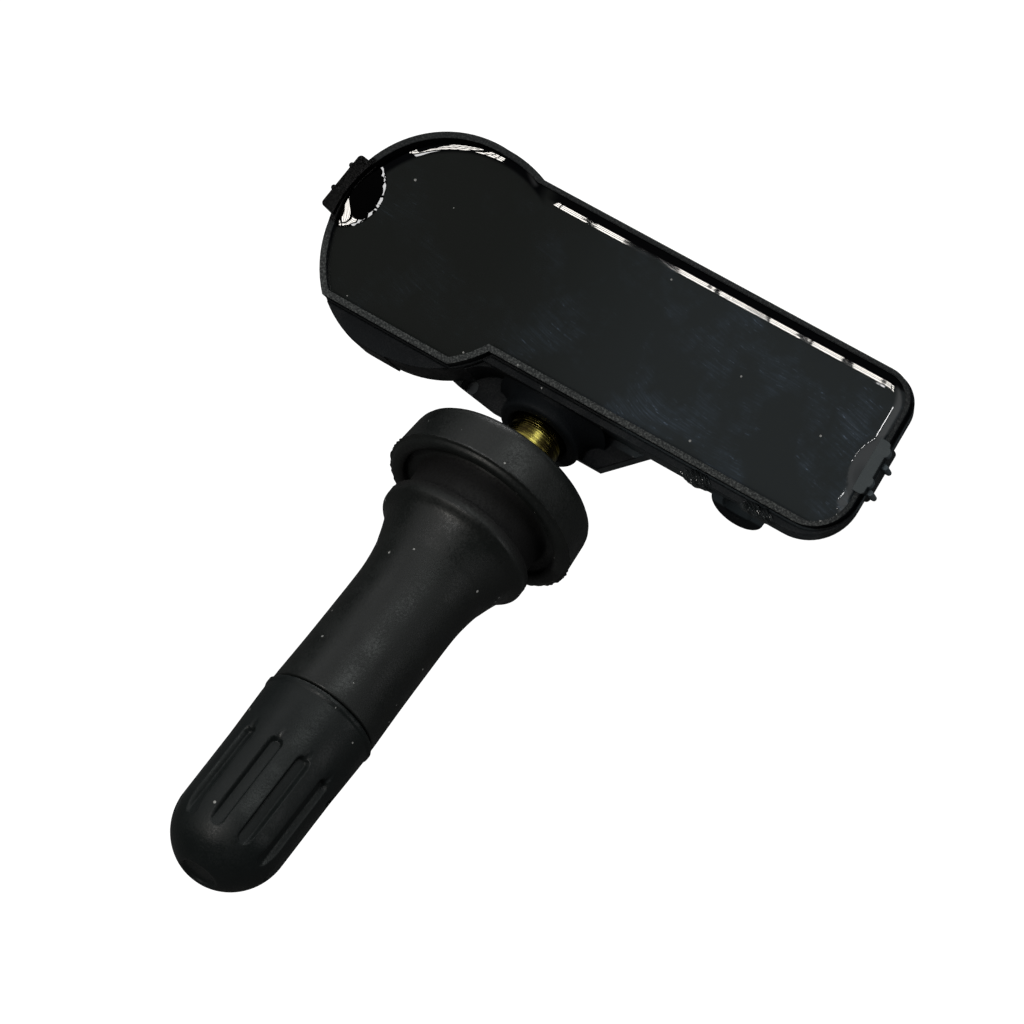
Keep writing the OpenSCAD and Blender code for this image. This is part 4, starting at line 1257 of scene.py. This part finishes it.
@dataclass
class ValveCap(SubAssembly):
    """The screw cap, with long grip grooves, a domed end and a small flat with a dimple."""

    mouth: float = 23.05
    tip: float = 41.0
    lip_r: float = 5.5
    grip_start: float = 28.8
    grip_r: float = 5.24
    barrel_r: float = 5.22
    bore_r: float = 3.94
    seal_end: float = 35.45
    hollow_r: float = 2.7
    hollow_end: float = 38.6
    dome_start: float = 36.0
    dome_len: float = 5.4
    flat_r: float = 1.97
    grooves: int = 11
    first_groove: float = 91.0
    groove_from: float = 29.4
    groove_to: float = 37.6
    groove_half: float = 0.66
    groove_floor: float = 4.66
    burr: float = 0.06
    columns: int = 440

    def profile(self) -> np.ndarray:
        """The cap's outline from the hollow's end, out through the mouth and on to the tip.

        Returns:
            Station and radius of each point.
        """
        mouth, tip, start = self.mouth, self.tip, self.dome_start
        inside = filleted([
            (self.hollow_end, 0.25, 0), (self.hollow_end, 1.3, 0.2),
            (self.hollow_end - 1.4, self.hollow_r, 0.2), (self.seal_end, self.hollow_r, 0),
            (self.seal_end, self.bore_r, 0), (mouth + 0.5, self.bore_r, 0),
            (mouth, self.bore_r + 0.3, 0.08)], 4)
        lip = filleted([
            (mouth, self.lip_r - 0.12, 0), (mouth + 0.05, self.lip_r, 0.06),
            (mouth + 0.42, self.lip_r - 0.02, 0.1), (mouth + 0.62, 5.37, 0.1),
            (mouth + 1.4, 5.36, 0.4), (self.grip_start, self.grip_r, 0)])
        steps = np.arange(self.grip_start + 0.15, start, 0.14)
        taper = (self.grip_r - self.barrel_r) / (start - self.grip_start)
        side = np.stack((steps, self.grip_r - taper * (steps - self.grip_start)), -1)
        turn = np.linspace(0, math.asin((tip - start) / self.dome_len), 40)
        dome = np.stack((start + self.dome_len * np.sin(turn), self.barrel_r * np.cos(turn)), -1)
        end = filleted([
            (tip, self.flat_r - 0.02, 0), (tip, self.flat_r - 0.28, 0.12),
            (tip - 0.28, self.flat_r - 0.46, 0.12), (tip - 0.3, 0.7, 0), (tip - 0.3, 0.25, 0)], 5)
        return np.concatenate((spaced(inside, 1.5), spaced(lip, 0.6), side, dome,
                               spaced(end, 0.4)))

    def cut(self, angle: np.ndarray, station: np.ndarray) -> np.ndarray:
        """Share of a groove's depth: 1 inside a straight slot with round ends, 0 outside it.

        The distance to the slot's middle line is taken along the arc and past the line's ends.

        Args:
            angle: Angles round the stem axis.
            station: Stations along it.

        Returns:
            The share at each point.
        """
        period = 2 * np.pi / self.grooves
        off = (angle - math.radians(self.first_groove) + period / 2) % period - period / 2
        past = np.maximum(0, np.maximum(self.groove_from - station, station - self.groove_to))
        away = np.hypot(off * self.barrel_r, past)
        return ramp(-away, -self.groove_half - 0.05, -self.groove_half + 0.17)

    def body(self) -> Thing:
        """The cap as a lathe surface, whose radius falls to the groove's floor in each groove.

        Returns:
            The new piece.
        """
        path = self.profile()
        angle, s, r = lathe(path, self.columns)
        outer = (np.arange(len(path))[:, None] > np.argmin(path[:, 0])) & (r > self.groove_floor)
        r = r - outer * np.maximum(r - self.groove_floor, 0) * self.cut(angle, s)
        burr = np.exp(-((s - self.mouth - 0.05) / 0.12) ** 2) * outer
        r = r - burr * self.burr * (0.5 + 0.5 * ripple(angle, 8, 6, 40))
        poles = on_stem(np.zeros(2), np.zeros(2), path[[0, -1], 0])
        points = np.concatenate((on_stem(r, angle, s).reshape(-1, 3), poles))
        return make_mesh("valve_cap_body", points, capped(len(path), self.columns), 40.0)

    def build(self) -> None:
        """Builds the cap in place of its plain solid, and dresses its washer."""
        self.stand_in(self.body(), Slot.CAP, "cap", "cap")
        self.dress_nodes({"cap_seal": Slot.SEAL})


@dataclass
class ValveCore(SubAssembly):
    """The valve core inside the stem."""

    def build(self) -> None:
        """Dresses the core's pieces."""
        self.dress_nodes({
            "core_plug": Slot.BRASS, "core_barrel": Slot.BRASS, "core_barrel_seal": Slot.RED_SEAL,
            "core_pin": Slot.BRASS, "core_cup": Slot.BRASS, "core_cup_seal": Slot.SEAL,
            "core_spring": Slot.STEEL})


@dataclass
class Electronics(SubAssembly):
    """The board, the battery and what is soldered on."""

    def build(self) -> None:
        """Dresses the pieces inside the housing."""
        self.dress_nodes({
            "circuit_board": Slot.BOARD, "coin_cell": Slot.STEEL,
            "battery_tab_positive": Slot.NICKEL, "battery_tab_negative": Slot.NICKEL,
            "sensor_chip": Slot.CHIP, "radio_chip": Slot.CHIP, "port_gasket": Slot.SEAL,
            "antenna": Slot.COPPER, "coil_core": Slot.FERRITE, "coil_winding": Slot.COPPER,
            "crystal": Slot.STEEL, "capacitors": Slot.CAPACITOR, "resistors": Slot.CHIP})


# ---------------------------------------------------------------- studio


@dataclass(frozen=True)
class SoftLamp:
    """A wide lamp: its direction from the part, its level and its colour."""

    name: str
    way: Point
    level: float
    colour: Colour = (1.0, 1.0, 1.0)


@dataclass
class Studio:
    """Camera, white surroundings, floor and lamps, in metres and degrees."""

    eye: Point = (0.094658, -0.150861, 0.295621)
    right: Point = (0.83752108, 0.5458754, 0.02405192)
    down: Point = (0.47705931, -0.70905846, -0.51927885)
    forward: Point = (-0.26640733, 0.44638118, -0.85426634)
    lens: float = 136.47
    floor_drop: float = 0.05
    floor_r: float = 1.2
    floor_grey: Colour = (0.3, 0.3, 0.3)
    floor_mirrored: Colour = (0.08, 0.08, 0.08)
    floor_lift: float = 0.84
    ambient: float = 0.25
    reflected: float = 0.9
    left_side: float = 0.8
    least: float = 0.02
    aim: Point = (0.008, 0.012, 0.008)
    strips: int = 10
    strip_gap: int = 3
    rows: int = 3
    row_shift: float = 0.05
    strip_size: Pair = (0.0066, 0.021)
    strip_pitch: float = 0.0092
    row_pitch: float = 0.031
    strip_level: float = 32.0
    strip_colour: Colour = (1.0, 0.96, 0.9)
    strip_tilt: float = 10.2
    strip_distance: float = 0.35
    far_distance: float = 0.8
    pool: Point = (-0.0262, 0.0194, 0.0082)
    ring_turns: tuple[float, ...] = (-38.0, -17.2, 3.6, 24.4, 45.2, 66.0)
    ring_tilt: float = 9.5
    ring_size: Pair = (0.085, 0.055)
    ring_level: float = 16.0
    end: Point = (0.0274, 0.0204, 0.0082)
    end_turns: tuple[float, ...] = (178.0, 166.0, 154.0)
    end_tilt: float = 10.0
    end_size: Pair = (0.024, 0.024)
    end_level: float = 32.0
    soft: tuple[SoftLamp, ...] = (
        SoftLamp("fill_back", (-0.35, 0.93, 0.12), 9.0),
        SoftLamp("fill_right", (0.93, 0.15, 0.33), 1.6),
        SoftLamp("soft_back", (0.22, 0.46, 0.86), 3.0, (0.93, 1.0, 0.97)))
    soft_distance: float = 0.7
    soft_size: Pair = (0.3, 0.3)

    def camera(self) -> None:
        """Places the camera where the photograph was taken from."""
        data = bpy.data.cameras.new("camera")
        data.lens = self.lens
        data.sensor_width = 36.0
        data.clip_start = 0.01
        camera = bpy.data.objects.new("camera", data)
        turn = Matrix((self.right, [-v for v in self.down], [-v for v in self.forward]))
        camera.matrix_world = Matrix.Translation(self.eye) @ turn.transposed().to_4x4()
        bpy.context.scene.collection.objects.link(camera)
        bpy.context.scene.camera = camera

    def world(self) -> None:
        """White for the camera, and a soft even light that reflections see as a dim room."""
        world = bpy.data.worlds.new("white_room")
        world.use_nodes = True
        bpy.context.scene.world = world
        tree = Tree(world.node_tree)
        rays = tree.add("ShaderNodeLightPath").outputs
        x, y, z = tree.split(tree.add("ShaderNodeTexCoord").outputs["Generated"])
        behind = tree.times(tree.between(y, 0.1, 0.5), tree.between(z, 0.3, 0.85))
        left = tree.times(tree.between(x, -0.42, -0.66), tree.between(z, 0.3, 0.55))
        zones = tree.line(left, self.left_side, tree.times(behind, self.reflected))
        seen = tree.most(rays["Is Camera Ray"], rays["Is Transmission Ray"])
        room = tree.times(rays["Is Glossy Ray"], tree.math("ADD", zones, self.least))
        even = tree.times(rays["Is Diffuse Ray"], self.ambient)
        tree.fill(tree.nodes.nodes["Background"], Color=(1, 1, 1, 1),
                  Strength=tree.most(seen, tree.most(room, even)))

    def floor(self) -> None:
        """A round floor below the part, lifted to white for the camera, which keeps the shadow."""
        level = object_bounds()[0][2] - self.floor_drop
        bpy.ops.mesh.primitive_circle_add(vertices=96, radius=self.floor_r, fill_type="NGON",
                                          location=(0, 0, level))
        floor = bpy.context.object
        floor.name = "floor"
        made, tree, surface = new_material("floor_white")
        rays = tree.add("ShaderNodeLightPath").outputs
        tree.fill(surface, Roughness=0.95, Specular_IOR_Level=0.0, Emission_Color=(1, 1, 1, 1),
                  Base_Color=tree.blend(rays["Is Glossy Ray"], shaded(self.floor_grey),
                                        shaded(self.floor_mirrored)),
                  Emission_Strength=tree.times(rays["Is Camera Ray"], self.floor_lift))
        floor.data.materials.append(made)
        floor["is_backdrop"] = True

    def lamp(self, name: str, at: Vector, towards: Vector, size: Pair,
             level: float, colour: Colour = (1, 1, 1)) -> None:
        """A rectangular lamp whose first side lies along the arm.

        Args:
            name: Name of the lamp.
            at: Its place.
            towards: The point that it faces.
            size: Its two sides.
            level: How bright its face is, where 1 is white.
            colour: Its colour.
        """
        data = bpy.data.lights.new(name, "AREA")
        data.shape = "RECTANGLE"
        data.size, data.size_y = size
        data.energy = level * math.pi * size[0] * size[1]
        data.color = colour
        back = (at - towards).normalized()
        up = back.cross(ALONG).normalized()
        lamp = bpy.data.objects.new(name, data)
        turn = Matrix((up.cross(back), up, back)).transposed().to_4x4()
        lamp.matrix_world = Matrix.Translation(at) @ turn
        bpy.context.scene.collection.objects.link(lamp)

    def towards(self, at: Vector, tilt: float, turn: float) -> Vector:
        """Direction that a point of the resin reflects to the camera when it is tilted there.

        It is 2 (n.v) n - v, with n the tilted surface's normal and v the way to the camera.

        Args:
            at: The point.
            tilt: Angle of the surface away from flat, in degrees.
            turn: Direction of the tilt in the flat frame, in degrees from x.

        Returns:
            A vector of length 1 from the point to where a lamp shows in it.
        """
        lean, turn = math.radians(FLAT.tilt), math.radians(turn)
        flat = Vector((0, -math.sin(lean), math.cos(lean)))
        across = Vector((0, math.cos(lean), math.sin(lean)))
        way = ALONG * math.cos(turn) + across * math.sin(turn)
        normal = (flat + math.tan(math.radians(tilt)) * way).normalized()
        view = (Vector(self.eye) - at).normalized()
        return 2 * normal.dot(view) * normal - view

    def strip_lamps(self) -> None:
        """Rows of narrow lamps in front, with one left out, for the dashes at the far edge."""
        aim = Vector(self.aim)
        out = self.towards(aim, self.strip_tilt, -90.0)
        rise = out.cross(ALONG).normalized()
        for row in range(self.rows):
            high = (row - (self.rows - 1) / 2) * self.row_pitch
            for k in range(self.strips):
                if k == self.strip_gap:
                    continue
                place = k - (self.strips - 1) / 2 + self.row_shift * row
                along = ALONG * (place * self.strip_pitch)
                self.lamp(f"strip_{row + 1}_{k + 1}",
                          aim + out * self.strip_distance + rise * high + along, aim + along,
                          self.strip_size, self.strip_level, self.strip_colour)

    def mound_lamps(self) -> None:
        """Lamps that show in the edges of the two mounds beside the lugs."""
        for name, point, tilt, turns, size, level in (
                ("ring", self.pool, self.ring_tilt, self.ring_turns, self.ring_size,
                 self.ring_level),
                ("end", self.end, self.end_tilt, self.end_turns, self.end_size,
                 self.end_level)):
            point = Vector(point)
            for k, turn in enumerate(turns, 1):
                at = point + self.towards(point, tilt, turn) * self.far_distance
                self.lamp(f"{name}_{k}", at, point, size, level)

    def build(self) -> None:
        """Builds the studio."""
        self.camera()
        self.world()
        self.floor()
        self.strip_lamps()
        self.mound_lamps()
        aim = Vector(self.aim)
        for soft in self.soft:
            self.lamp(soft.name, aim + self.soft_distance * Vector(soft.way), aim,
                      self.soft_size, soft.level, soft.colour)
        bpy.context.scene.view_settings.view_transform = "Standard"


def corners(box: tuple) -> list[list[float]]:
    """A box's two corners as plain lists of numbers."""
    return [[float(v) for v in corner] for corner in box]


def main() -> None:
    """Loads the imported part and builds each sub-assembly."""
    logging.basicConfig(level=logging.INFO, format="%(message)s")
    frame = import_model()
    for kind in (Housing, Potting, ValveStem, ValveCap, ValveCore, Electronics):
        kind(frame).build()
        LOG.info("finished %s", kind.__name__)
    Studio().build()


if __name__ == "__main__":
    main()
